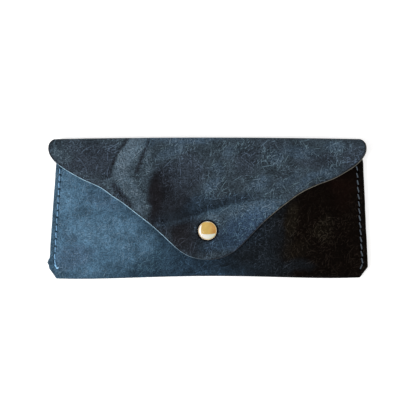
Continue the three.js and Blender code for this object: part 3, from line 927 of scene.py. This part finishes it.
class Nodes:
    """A short way to write a node tree: most calls add a node and return the socket it makes."""

    def __init__(self, tree):
        self.tree = tree

    def add(self, kind, inputs=None, **settings):
        node = self.tree.nodes.new(kind)
        for name, value in settings.items():
            setattr(node, name, value)
        self.fill(node, inputs or {})
        return node

    def fill(self, node, inputs):
        """Sets or links a node's inputs, each given by its name or its number."""
        for name, value in inputs.items():
            self.put(node.inputs[name], value)

    def put(self, socket, value):
        if isinstance(value, bpy.types.NodeSocket):
            self.tree.links.new(value, socket)
        elif value is not None:
            socket.default_value = value

    def maths(self, operation, a, b=None, clamp=False):
        node = self.add("ShaderNodeMath", operation=operation, use_clamp=clamp)
        for socket, value in zip(node.inputs, (a, b)):
            self.put(socket, value)
        return node.outputs[0]

    def times(self, *values):
        """The product of several numbers."""
        total = values[0]
        for value in values[1:]:
            total = self.maths("MULTIPLY", total, value)
        return total

    def vector(self, operation, a, b):
        return self.add("ShaderNodeVectorMath", {0: a, 1: b}, operation=operation).outputs[0]

    def scaled(self, vector, scale):
        inputs = {0: vector, "Scale": scale}
        return self.add("ShaderNodeVectorMath", inputs, operation="SCALE").outputs[0]

    def xyz(self, **parts):
        return self.add("ShaderNodeCombineXYZ", parts).outputs[0]

    def split(self, vector):
        return self.add("ShaderNodeSeparateXYZ", {0: vector}).outputs

    def own_place(self):
        return self.add("ShaderNodeTexCoord").outputs["Object"]

    def ramp(self, value, low, high, out_low=0.0, out_high=1.0, smooth=True):
        node = self.add("ShaderNodeMapRange", interpolation_type="SMOOTHSTEP" if smooth else "LINEAR")
        for socket, number in zip(node.inputs, (value, low, high, out_low, out_high)):
            self.put(socket, number)
        return node.outputs[0]

    def noise(self, place, scale, detail=2.0, roughness=0.5, distortion=0.0):
        return self.add("ShaderNodeTexNoise", {
            "Vector": place, "Scale": scale, "Detail": detail, "Roughness": roughness,
            "Distortion": distortion}, noise_dimensions="3D").outputs["Fac"]

    def blend(self, share, a, b):
        node = self.add("ShaderNodeMix", data_type="RGBA", blend_type="MIX")
        self.put(socket_named(node.inputs, "Factor", "VALUE"), share)
        self.put(socket_named(node.inputs, "A", "RGBA"), a)
        self.put(socket_named(node.inputs, "B", "RGBA"), b)
        return socket_named(node.outputs, "Result", "RGBA")

    def attribute(self, name):
        return self.add("ShaderNodeAttribute", attribute_name=name)

    def on_hide(self):
        """The place in the flat hide, and its dye there."""
        return self.attribute("hide_mm").outputs["Vector"], self.attribute("dye").outputs["Color"]

    def bump(self, height, distance, strength=1.0, normal=None):
        inputs = {"Strength": strength, "Distance": distance, "Height": height, "Normal": normal}
        return self.add("ShaderNodeBump", inputs).outputs["Normal"]


def socket_named(sockets, name, kind):
    """A mix node has one socket of each name for each kind of data: picks the one wanted."""
    return next(s for s in sockets if s.name == name and s.type == kind)


def new_material(name):
    material = bpy.data.materials.new(name)
    material.use_nodes = True
    shader = material.node_tree.nodes["Principled BSDF"]
    return material, Nodes(material.node_tree), shader


def hair_mark_group():
    """One layer of fine curved scuffs: a mark in every cell, each with its own turn, bend and length."""
    tree = bpy.data.node_groups.new("hair_marks", "ShaderNodeTree")
    face = tree.interface
    face.new_socket("Place", in_out="INPUT", socket_type="NodeSocketVector")
    for name, value in zip(HAIR_SETTINGS, (3.5, 0.0, 0.5, 0.05, 0.9)):
        face.new_socket(name, in_out="INPUT", socket_type="NodeSocketFloat").default_value = value
    face.new_socket("Marks", in_out="OUTPUT", socket_type="NodeSocketFloat")
    n = Nodes(tree)
    given = n.add("NodeGroupInput").outputs
    shifted = n.vector("ADD", n.scaled(given["Place"], n.maths("DIVIDE", 1.0, given["Cell"])),
                       n.scaled((1.0, 1.37, 0.0), given["Shift"]))
    cells = n.add("ShaderNodeTexVoronoi", voronoi_dimensions="2D", feature="F1")
    n.fill(cells, {"Vector": shifted, "Scale": 1.0, "Randomness": 1.0})
    chance = n.add("ShaderNodeSeparateColor", {0: cells.outputs["Color"]}).outputs
    turn = n.add("ShaderNodeVectorRotate", rotation_type="Z_AXIS")
    n.fill(turn, {
        "Vector": n.vector("SUBTRACT", shifted, cells.outputs["Position"]),
        "Angle": n.times(chance[0], 2 * math.pi)})
    parts = n.split(turn.outputs[0])
    along, aside = parts["X"], parts["Y"]
    bend = n.times(n.maths("SUBTRACT", chance[1], 0.5), given["Bend"])
    curved = n.maths("SUBTRACT", aside, n.times(bend, n.times(along, along)))
    reach = n.times(given["Length"], n.ramp(chance[2], 0.0, 1.0, 0.4, 1.0, smooth=False))
    gone = n.maths("DIVIDE", n.maths("ABSOLUTE", along), reach)
    taper = n.maths("SUBTRACT", 1.0, n.times(gone, gone), clamp=True)
    width = n.times(given["Width"], n.maths("SQRT", taper))
    share = n.maths("DIVIDE", n.maths("ABSOLUTE", curved), n.maths("ADD", width, 0.0001))
    line = n.times(n.ramp(share, 1.0, 0.2), n.maths("GREATER_THAN", taper, 0.0))
    n.add("NodeGroupOutput", {"Marks": n.times(line, n.ramp(chance[0], 0.3, 0.95, 0.12, 1.0))})
    return tree


def hair_marks(n, group, place, layers):
    """The strongest mark of several layers, each with its own settings."""
    total = None
    for values in layers:
        node = n.add("ShaderNodeGroup", node_tree=group)
        n.fill(node, {"Place": place, **dict(zip(HAIR_SETTINGS, values))})
        marks = node.outputs["Marks"]
        total = marks if total is None else n.maths("MAXIMUM", total, marks)
    return total


# the layers of hair-thin scuffs, each with these settings
HAIR_SETTINGS = ("Cell", "Shift", "Length", "Width", "Bend")
FINE_HAIRS = (
    (2.1, 0.0, 0.55, 0.07, 0.6),
    (2.6, 5.3, 0.55, 0.055, -0.5),
    (1.7, 11.9, 0.5, 0.08, 0.8),
    (3.2, 17.1, 0.55, 0.045, 0.5),
)
LONG_HAIRS = (
    (7.5, 23.7, 0.55, 0.02, 0.6),
    (5.6, 31.3, 0.5, 0.025, -0.8),
)


def grain_leather(group):
    """Waxed pull-up hide: clouded dye, fine pores, and pale hair-thin scuffs that gather in patches."""
    material, n, shader = new_material("waxed_grain")
    place, tone = n.on_hide()
    scuffed = n.attribute("scuffed").outputs["Fac"]
    clouds = n.ramp(n.noise(place, 0.12, 4.0, 0.62, 0.4), 0.32, 0.68, 0.76, 1.26)
    mottle = n.ramp(n.noise(place, 0.5, 4.0, 0.65), 0.3, 0.7, 0.77, 1.25)
    pores = n.noise(place, 1.35, 3.0, 0.65)
    spread = n.maths("ADD", n.times(scuffed, 0.42), 0.22)
    speckle = n.maths("ADD", 1.0, n.times(n.ramp(pores, 0.3, 0.7, -1.0, 1.0), spread))
    ground = n.scaled(tone, n.times(clouds, mottle, speckle))
    patches = n.ramp(n.noise(place, 0.09, 3.0, 0.6, 0.6), 0.38, 0.62, 0.22, 1.0)
    fine = hair_marks(n, group, place, FINE_HAIRS)
    long = hair_marks(n, group, place, LONG_HAIRS)
    hairs = n.times(n.maths("MAXIMUM", n.times(fine, patches), n.times(long, 0.8)), scuffed)
    # a hair lifts the dye towards pale, but only a little where the dye is nearly black
    pale = n.vector("ADD", n.scaled(tone, 1.5), (0.017, 0.0135, 0.01))
    strong = n.vector("MINIMUM", n.scaled(tone, 25.0), (1, 1, 1))
    lifted = n.vector("MULTIPLY", (0.14, 0.17, 0.2), strong)
    relief = n.bump(n.noise(place, 1.1, 4.0, 0.6, 0.8), 0.00025, 0.5)
    relief = n.bump(n.maths("SUBTRACT", n.times(hairs, 0.6), pores), 0.00006, 0.6, relief)
    n.fill(shader, {
        "Base Color": n.blend(hairs, ground, n.vector("ADD", pale, lifted)),
        "Roughness": n.ramp(mottle, 0.8, 1.2, 0.5, 0.68),
        "Specular IOR Level": 0.025,
        "Normal": relief})
    return material


def flesh_leather():
    """The suede side: short nap, paler and drier than the grain."""
    material, n, shader = new_material("suede_flesh")
    place, tone = n.on_hide()
    nap = n.noise(place, 2.6, 5.0, 0.75, 0.6)
    clouds = n.noise(place, 0.12, 3.0, 0.6, 0.5)
    level = n.times(n.ramp(nap, 0.3, 0.7, 0.72, 1.25), n.ramp(clouds, 0.3, 0.7, 0.82, 1.2))
    n.fill(shader, {
        "Base Color": n.scaled(n.blend(0.75, tone, rgba("#46525f")), level),
        "Roughness": 0.95,
        "Specular IOR Level": 0.1,
        "Normal": n.bump(nap, 0.0003, 0.7)})
    return material


def cut_edge(name, rawness):
    """The cut edge: pale blue fibres on the left, painted as a highlight where the edge faces the light;
    sandy on the right, dyed dark at the tip and the fold.
    """
    material, n, shader = new_material(name)
    place, tone = n.on_hide()
    fibres = n.noise(place, 2.0, 4.0, 0.7, 0.3)
    parts = n.split(place)
    dyed = n.maths("MAXIMUM", n.ramp(parts["X"], -35.0, 8.0), n.ramp(parts["Y"], 21.0, 27.0))
    # painted highlight: the left part of the edge is pale blue, where it faces the light
    middle = n.blend(dyed, rgba("#86a6ba"), rgba("#262b32"))
    raw = n.blend(n.ramp(parts["X"], 22.0, 42.0), middle, rgba("#66645b"))
    raw = n.scaled(raw, n.ramp(fibres, 0.3, 0.7, 0.75, 1.2))
    bare = n.ramp(n.noise(place, 0.35, 3.0), 0.3, 0.6, rawness * 0.6, rawness)
    n.fill(shader, {
        "Base Color": n.blend(bare, n.scaled(tone, 0.9), raw),
        "Roughness": 0.7,
        "Specular IOR Level": 0.2,
        "Normal": n.bump(fibres, 0.0002, 0.6)})
    return material


def thread_material(name, light_tone, dark_tone):
    """Waxed two-ply thread: fine fibres along it and a little dirt between the plies."""
    material, n, shader = new_material(name)
    place = n.own_place()
    fibres = n.noise(place, 5200.0, 3.0, 0.6)
    patches = n.noise(place, 900.0, 2.0)
    share = n.times(n.ramp(fibres, 0.3, 0.7, 0.35, 1.0), n.ramp(patches, 0.3, 0.7, 0.6, 1.0))
    n.fill(shader, {
        "Base Color": n.blend(share, rgba(dark_tone), rgba(light_tone)),
        "Roughness": n.ramp(patches, 0.3, 0.7, 0.42, 0.6),
        "Specular IOR Level": 0.3,
        "Normal": n.bump(fibres, 0.00005, 0.5)})
    return material


def melted_material():
    """Thread melted into a bead: paler, smooth and glossy."""
    material, n, shader = new_material("melted_thread")
    place = n.own_place()
    cloudy = n.ramp(n.noise(place, 1100.0, 2.0), 0.35, 0.65)
    n.fill(shader, {
        "Base Color": n.blend(cloudy, rgba("#5f9cc9"), rgba("#a5d2f5")),
        "Roughness": n.ramp(cloudy, 0.0, 1.0, 0.18, 0.32),
        "Normal": n.bump(n.noise(place, 2600.0), 0.00008, 0.5)})
    return material


# how finely the scratches are drawn along each axis, to the metre
METAL_SCRATCHES = (2600, 2600 * 0.06, 2600 * 0.3)


def metal_material(name, tone, smooth, worn):
    """Plated metal: polish broken by hair scratches and faint tarnish."""
    material, n, shader = new_material(name)
    place = n.own_place()
    tarnish = n.noise(place, 420.0, 3.0, 0.6)
    scratches = n.noise(n.vector("MULTIPLY", place, METAL_SCRATCHES), 1.0, 2.0, 0.5)
    n.fill(shader, {
        "Base Color": n.scaled(tone, n.ramp(tarnish, 0.3, 0.7, 0.93, 1.04)),
        "Metallic": 1.0,
        "Roughness": n.ramp(scratches, 0.35, 0.65, smooth, worn),
        "Normal": n.bump(scratches, 0.00001, 0.15)})
    return material


# ---------- stitches ----------

def stitch_row_tree():
    """A row of two-ply stitches: one twisted dash, bent down at both ends, copied along a line."""
    tree = bpy.data.node_groups.new("stitch_row", "GeometryNodeTree")
    face = tree.interface
    for name, kind in (
            ("Count", "Int"), ("Start", "Vector"), ("Step", "Vector"), ("Turn", "Float"),
            ("Roll", "Float"), ("Dash", "Float"), ("Ply", "Float"), ("Dip", "Float"),
            ("Wander", "Float"), ("Seed", "Int"), ("Material", "Material")):
        face.new_socket(name, in_out="INPUT", socket_type="NodeSocket" + kind)
    face.new_socket("Geometry", in_out="OUTPUT", socket_type="NodeSocketGeometry")
    n = Nodes(tree)
    given = n.add("NodeGroupInput").outputs

    join = n.add("GeometryNodeJoinGeometry")
    for phase in (0.0, math.pi):
        n.put(join.inputs[0], one_ply(n, given, phase))
    line = n.add("GeometryNodeMeshLine", mode="OFFSET")
    n.fill(line, {"Count": given["Count"], "Start Location": given["Start"], "Offset": given["Step"]})

    def chance(low, high, shift):
        """A random number for each stitch, with its own seed."""
        node = n.add("FunctionNodeRandomValue", data_type="FLOAT")
        for name, value in (("Min", low), ("Max", high)):
            n.put(next(s for s in node.inputs if s.name == name and s.type == "VALUE" and s.enabled), value)
        n.fill(node, {"Seed": n.maths("ADD", given["Seed"], shift)})
        return next(s for s in node.outputs if s.type == "VALUE" and s.enabled)

    wander = n.times(chance(-1.0, 1.0, 0), given["Wander"])
    copies = n.add("GeometryNodeInstanceOnPoints", {
        "Points": line.outputs[0],
        "Instance": join.outputs[0],
        "Rotation": n.xyz(X=given["Roll"], Z=n.maths("ADD", given["Turn"], wander)),
        "Scale": n.xyz(X=chance(0.93, 1.03, 1), Y=chance(0.9, 1.1, 2), Z=1.0)})
    real = n.add("GeometryNodeRealizeInstances", {0: copies.outputs[0]})
    smooth = n.add("GeometryNodeSetShadeSmooth", {0: real.outputs[0]})
    dressed = n.add("GeometryNodeSetMaterial", {
        "Geometry": smooth.outputs[0], "Material": given["Material"]})
    n.add("NodeGroupOutput", {0: dressed.outputs[0]})
    return tree


def one_ply(n, given, phase):
    """One ply of a stitch, wound round the stitch's middle line and dipping into its holes."""
    half = n.times(given["Dash"], 0.5)
    ends = {"Start": n.xyz(X=n.times(half, -1.0)), "End": n.xyz(X=half)}
    line = n.add("GeometryNodeCurvePrimitiveLine", ends)
    fine = n.add("GeometryNodeResampleCurve", {"Curve": line.outputs[0], "Count": 22})
    share = n.add("GeometryNodeSplineParameter").outputs["Factor"]
    out = n.maths("ABSOLUTE", n.maths("SUBTRACT", n.times(share, 2.0), 1.0))
    dip = n.times(n.maths("POWER", out, 5.0), given["Dip"])
    angle = n.maths("ADD", n.times(share, PLY_TURNS * 2 * math.pi), phase)
    wind = n.times(given["Ply"], 0.75)
    aside = n.times(n.maths("COSINE", angle), wind)
    up = n.maths("SUBTRACT", n.times(n.maths("SINE", angle), wind), dip)
    wound = n.add("GeometryNodeSetPosition", {"Geometry": fine.outputs[0], "Offset": n.xyz(Y=aside, Z=up)})
    section = n.add("GeometryNodeCurvePrimitiveCircle", {"Resolution": 8, "Radius": given["Ply"]})
    swept = n.add("GeometryNodeCurveToMesh", {
        "Curve": wound.outputs[0], "Profile Curve": section.outputs[0], "Fill Caps": True})
    return swept.outputs[0]


def stitch_row(tree, material, common, **values):
    """The mesh that the stitch tree makes with these values."""
    carrier = linked("carrier", bpy.data.meshes.new("carrier"))
    modifier = carrier.modifiers.new("stitches", "NODES")
    modifier.node_group = tree
    wanted = {"Material": material, **common, **values}
    for item in tree.interface.items_tree:
        if item.in_out == "INPUT":
            modifier[item.identifier] = wanted[item.name]
    graph = bpy.context.evaluated_depsgraph_get()
    mesh = bpy.data.meshes.new_from_object(carrier.evaluated_get(graph))
    bpy.data.objects.remove(carrier)
    return mesh


def joined_piece(name, meshes, material):
    """One piece from several meshes."""
    together = bmesh.new()
    for mesh in meshes:
        together.from_mesh(mesh)
    mesh = bpy.data.meshes.new(name)
    together.to_mesh(mesh)
    together.free()
    mesh.materials.clear()
    mesh.materials.append(material)
    mesh.polygons.foreach_set("material_index", [0] * len(mesh.polygons))
    mesh.polygons.foreach_set("use_smooth", [True] * len(mesh.polygons))
    return linked(name, mesh)


def seam_threads(tree, name, side, slant, material, seed):
    """The stitches of one seam, on the front and on the back, and the turned last stitch."""
    first = FIRST_HOLE_Y[side]
    start = np.array([seam_x(side, first + STITCH_PITCH / 2), first + STITCH_PITCH / 2])
    step = np.array([seam_x(side, STITCH_PITCH) - seam_x(side, 0), STITCH_PITCH])
    along = math.atan2(step[1], step[0])
    in_row = {
        "Count": STITCH_HOLES - 1, "Step": Vector((*step, 0)) * MM, "Wander": math.radians(4),
        "Dash": STITCH_DASH * MM, "Ply": THREAD_PLY * MM, "Dip": STITCH_DIP * MM,
    }
    start[0] += lean(*start)
    front_z = SEAM_TOP - GROOVE_DEPTH + THREAD_PLY * 1.2
    back_z = GROOVE_DEPTH + 0.14
    rows = []
    for z, turn, roll, row_seed in (
            (front_z, along + slant, 0.0, seed), (back_z, -along + slant, math.pi, seed + 5)):
        place = Vector((*start, z)) * MM
        rows.append(stitch_row(tree, material, in_row, Start=place, Turn=turn, Roll=roll, Seed=row_seed))
    turned = np.array(TURNED_HOLES[side][0])
    line_end = hole_centres(side)[0]
    middle = (turned + line_end) / 2 + (lean(*turned), 0)
    away = turned - line_end
    rows.append(stitch_row(
        tree, material, in_row, Count=1, Step=Vector((0, 0, 0)), Wander=0.0, Roll=0.0, Seed=seed,
        Start=Vector((*middle, front_z)) * MM, Dash=(np.hypot(*away) + 0.25) * MM,
        Turn=math.atan2(away[1], away[0])))
    piece = joined_piece(name, rows, material)
    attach(piece, "pouch")
    return piece


# ---------- turned and drawn pieces ----------

def tube(path, radii, sides=12):
    """A closed tube along `path`, as thick as `radii` say, with round ends."""
    path, radii = np.array(path, float), np.array(radii, float)
    ends = []
    for place, radius, away in (
            (path[0], radii[0], path[0] - path[1]), (path[-1], radii[-1], path[-1] - path[-2])):
        away = away / np.linalg.norm(away)
        rounded = [(place + away * radius * math.sin(t), radius * math.cos(t)) for t in (0.5, 1.0, 1.35)]
        ends.append(rounded)
    places = np.array([p for p, r in ends[0][::-1]] + list(path) + [p for p, r in ends[1]])
    widths = [r for p, r in ends[0][::-1]] + list(radii) + [r for p, r in ends[1]]
    tangents = np.gradient(places, axis=0)
    aside = np.cross(tangents[0], (0.3, 0.2, 1.0))
    vertices = []
    for place, width, tangent in zip(places, widths, tangents):
        tangent = tangent / np.linalg.norm(tangent)
        aside = aside - tangent * aside.dot(tangent)
        aside /= np.linalg.norm(aside)
        up = np.cross(tangent, aside)
        for i in range(sides):
            angle = 2 * math.pi * i / sides
            vertices.append(place + width * (aside * math.cos(angle) + up * math.sin(angle)))
    faces = []
    for ring in range(len(places) - 1):
        for i in range(sides):
            j = (i + 1) % sides
            a, b = ring * sides, (ring + 1) * sides
            faces.append((a + i, a + j, b + j, b + i))
    faces.append(tuple(reversed(range(sides))))
    faces.append(tuple(range((len(places) - 1) * sides, len(places) * sides)))
    return closed_mesh(vertices, faces)


def closed_mesh(vertices, faces):
    """A mesh in metres from points in millimetres, with its faces turned outwards."""
    mesh = bpy.data.meshes.new("made")
    mesh.from_pydata([tuple(np.array(v) * MM) for v in vertices], [], faces)
    tidy = bmesh.new()
    tidy.from_mesh(mesh)
    bmesh.ops.recalc_face_normals(tidy, faces=tidy.faces)
    tidy.to_mesh(mesh)
    tidy.free()
    return mesh


def turned_piece(name, profile, material, segments=64, sharp=35):
    """A lathe-turned solid about the snap's axis; the profile starts and ends on the axis."""
    vertices = [(SNAP_X, SNAP_Y, profile[0][1])]
    for radius, height in profile[1:-1]:
        for i in range(segments):
            angle = 2 * math.pi * i / segments
            vertices.append((SNAP_X + radius * math.cos(angle), SNAP_Y + radius * math.sin(angle), height))
    vertices.append((SNAP_X, SNAP_Y, profile[-1][1]))
    last = len(vertices) - 1
    rings = len(profile) - 2
    faces = []
    for i in range(segments):
        j = (i + 1) % segments
        faces.append((0, 1 + i, 1 + j))
        for ring in range(rings - 1):
            a, b = 1 + ring * segments, 1 + (ring + 1) * segments
            faces.append((a + i, b + i, b + j, a + j))
        faces.append((last, 1 + (rings - 1) * segments + j, 1 + (rings - 1) * segments + i))
    piece = joined_piece(name, [closed_mesh(vertices, faces)], material)
    piece.data.set_sharp_from_angle(angle=math.radians(sharp))
    return piece


def arc(centre_r, centre_z, radius, start, end, count=8):
    """Points of a rounded stretch of a turned profile, angles in degrees from straight out."""
    angles = np.radians(np.linspace(start, end, count))
    return [(centre_r + radius * math.cos(a), centre_z + radius * math.sin(a)) for a in angles]


def dome(top, sagitta, radius, count=14):
    """A shallow dome's profile, from its crown out to `radius`."""
    return [(radius * i / count, top - sagitta * (i / count) ** 2) for i in range(count + 1)]


def snap(nickel, steel):
    """The five pieces of the snap, turned as the tools that pressed them would leave them."""
    top, foot = CAP_HIGH[2], CAP_LOW[2]
    rim_z = top - CAP_SAGITTA - CAP_RIM * 0.7
    rim_foot = rim_z - CAP_RIM
    cap = turned_piece("snap_cap_polished", [
        *dome(top, CAP_SAGITTA, CAP_RADIUS - CAP_RIM * 1.25),
        *arc(CAP_RADIUS - CAP_RIM, rim_z, CAP_RIM, 62, -80, 10),
        (CAP_RADIUS - 1.3, rim_foot), (1.7, rim_foot),
        (1.5, foot + 0.5), (1.9, foot + 0.15), (1.9, foot), (0, foot),
    ], nickel)
    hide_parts("snap_cap")

    radius = (SOCKET_HIGH[0] - SOCKET_LOW[0]) / 2
    top, foot = SOCKET_HIGH[2], SOCKET_LOW[2]
    body = radius - 0.9
    socket = turned_piece("snap_socket_pressed", [
        (0, top), (radius - 0.3, top), *arc(radius - 0.25, top - 0.25, 0.25, 90, -90, 6),
        (body + 0.3, top - 0.52), (body, top - 0.9), *arc(body - 0.45, foot + 0.45, 0.45, 0, -90, 6),
        *arc(2.95, foot + 0.4, 0.4, -90, -180, 6), (2.55, foot + 0.9), (3.2, foot + 1.1),
        (3.2, top - 0.7), (0, top - 0.7),
    ], steel)
    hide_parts("snap_socket")

    # the spring is split: its wire runs almost all the way round
    wire = (RING_HIGH[2] - RING_LOW[2]) / 2
    radius = (RING_HIGH[0] - RING_LOW[0]) / 2 - wire
    angles = np.radians(np.linspace(12, 348, 72))
    middle_z = np.full(len(angles), (RING_LOW[2] + RING_HIGH[2]) / 2)
    path = np.column_stack([SNAP_X + radius * np.cos(angles), SNAP_Y + radius * np.sin(angles), middle_z])
    ring = joined_piece("snap_ring_wire", [tube(path, np.full(len(angles), wire))], steel)
    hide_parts("snap_ring_spring")

    radius = (STUD_HIGH[0] - STUD_LOW[0]) / 2
    head, base = STUD_HIGH[2], STUD_LOW[2]
    stud = turned_piece("snap_stud_pressed", [
        (0, head), (1.3, head - 0.04), *arc(1.55, head - 0.65, 0.62, 80, -50, 9), (1.75, base + 0.95),
        (1.9, base + 0.75), (2.5, base + 0.62), (3.4, base + 0.55),
        *arc(radius - 0.28, base + 0.27, 0.27, 80, -90, 7), (1.35, base), (1.35, base + 1.2),
        (0, base + 1.2),
    ], nickel)
    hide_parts("snap_stud")

    radius = (POST_HIGH[0] - POST_LOW[0]) / 2
    top, foot = POST_HIGH[2], POST_LOW[2]
    post = turned_piece("snap_post_pressed", [
        (0, top), (1.05, top), (1.2, top - 0.15), (1.2, foot + 0.6), (radius - 0.4, foot + 0.55),
        *arc(radius - 0.25, foot + 0.27, 0.25, 85, -85, 7), (radius - 1.4, foot + 0.12),
        (1.4, foot + 0.2), (1.1, foot + 0.45), (0, foot + 0.45),
    ], nickel)
    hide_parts("snap_post")

    for piece, body_name, slot in (
            (cap, "flap", "polished_nickel"), (socket, "flap", "snap_steel"), (ring, "flap", "snap_steel"),
            (stud, "pouch", "polished_nickel"), (post, "pouch", "polished_nickel")):
        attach(piece, body_name)


def melted_end(material):
    """Where the left thread stops: its end was melted into a bead and pressed down in a hook."""
    z = SEAM_TOP - 0.05
    route = np.array([
        (-82.15, -30.55, z), (-82.1, -30.95, z + 0.12), (-81.85, -31.5, z), (-81.55, -32.05, z),
        (-81.2, -32.5, z), (-80.8, -32.55, z), (-80.55, -32.25, z - 0.05), (-80.55, -31.85, z - 0.3)])
    radii = np.array([0.42, 0.56, 0.42, 0.36, 0.38, 0.36, 0.32, 0.28])
    steps = np.linspace(0, len(route) - 1, 40)
    knots = np.arange(len(route))
    path = np.column_stack([np.interp(steps, knots, route[:, i]) for i in range(3)])
    for _ in range(3):
        path[1:-1] = (path[:-2] + 2 * path[1:-1] + path[2:]) / 4
    path[:, 0] += lean(path[:, 0], path[:, 1])
    hook = tube(path, np.interp(steps, knots, radii), 14)
    piece = joined_piece("left_thread_melted_end", [hook], material)
    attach(piece, "pouch")


# ---------- assembly ----------

def main():
    studio()
    leather = grain_leather(hair_mark_group())
    flesh = flesh_leather()
    raw_edge = cut_edge("raw_cut_edge", 1.0)
    burnished_edge = cut_edge("burnished_cut_edge", 0.12)

    seams = seam_points()
    seams_on_front = np.column_stack([seams[:, 0], front_s(seams[:, 0], seams[:, 1])])

    front = cut_piece(
        "front_hide", front_outline(), front_surface,
        joined=lambda loop: loop[:, 1] < loop[:, 1].min() + 0.01,
        kept=seams_on_front,
        grain_relief=lambda x, s: seam_relief(x, front_plan_y(x, s)[0]))
    back = cut_piece(
        "back_hide", back_outline(), back_surface, flip=True,
        joined=lambda loop: (loop[:, 1] < BACK_EDGE_Y + 0.01) | (loop[:, 1] > FOLD_MIDDLE_S - 0.01),
        kept=seams, grain_relief=seam_relief)
    flap = cut_piece(
        "flap_hide", flap_outline(), flap_surface,
        joined=lambda loop: loop[:, 1] > FOLD_MIDDLE_S - 0.01,
        kept=snap_ring_points(), grain_relief=snap_relief)
    flap_loop = flap_outline()
    flap_loop = flap_loop[flap_loop[:, 1] < FOLD_MIDDLE_S - 2]

    def finished_flap(colour, x, s):
        colour = shadow_ring_round_snap(rubbed(colour, x, s), x, s)
        return burnished(colour, x, s, flap_loop, "soot", 1.3, 0.75)

    dye(front, FRONT_GROUND, FRONT_STAINS, (), FRONT_SCUFFS, 3.0,
        lambda colour, x, s: seam_margin_tone_and_hole_shade(colour, x, front_plan_y(x, s)[0]))
    dye(back, BACK_GROUND, BACK_STAINS, (), BACK_SCUFFS, 7.0, finished_back)
    dye(flap, FLAP_GROUND, FLAP_STAINS, FLAP_BANDS, FLAP_SCUFFS, 5.0, finished_flap)
    for piece, edge in ((front, burnished_edge), (back, burnished_edge), (flap, raw_edge)):
        for material in (leather, flesh, edge):
            piece.data.materials.append(material)
    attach(front, "pouch")
    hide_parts("front_panel")
    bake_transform(back)
    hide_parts("back_panel", "fold_spine")
    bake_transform(flap)
    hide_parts("flap_panel")

    tree = stitch_row_tree()
    blue = thread_material("blue_waxed_thread", "#86b4d8", "#3f6a90")
    grey = thread_material("slate_waxed_thread", "#586470", "#272e37")
    left = seam_threads(tree, "left_stitches", -1, math.radians(3), blue, 11)
    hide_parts("left_seam_thread")
    right = seam_threads(tree, "right_stitches", 1, math.radians(13), grey, 23)
    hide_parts("right_seam_thread")
    melted_end(melted_material())
    nickel = metal_material("polished_nickel", (0.86, 0.83, 0.77), 0.05, 0.1)
    steel = metal_material("pressed_steel", (0.6, 0.6, 0.58), 0.22, 0.36)
    snap(nickel, steel)


main()
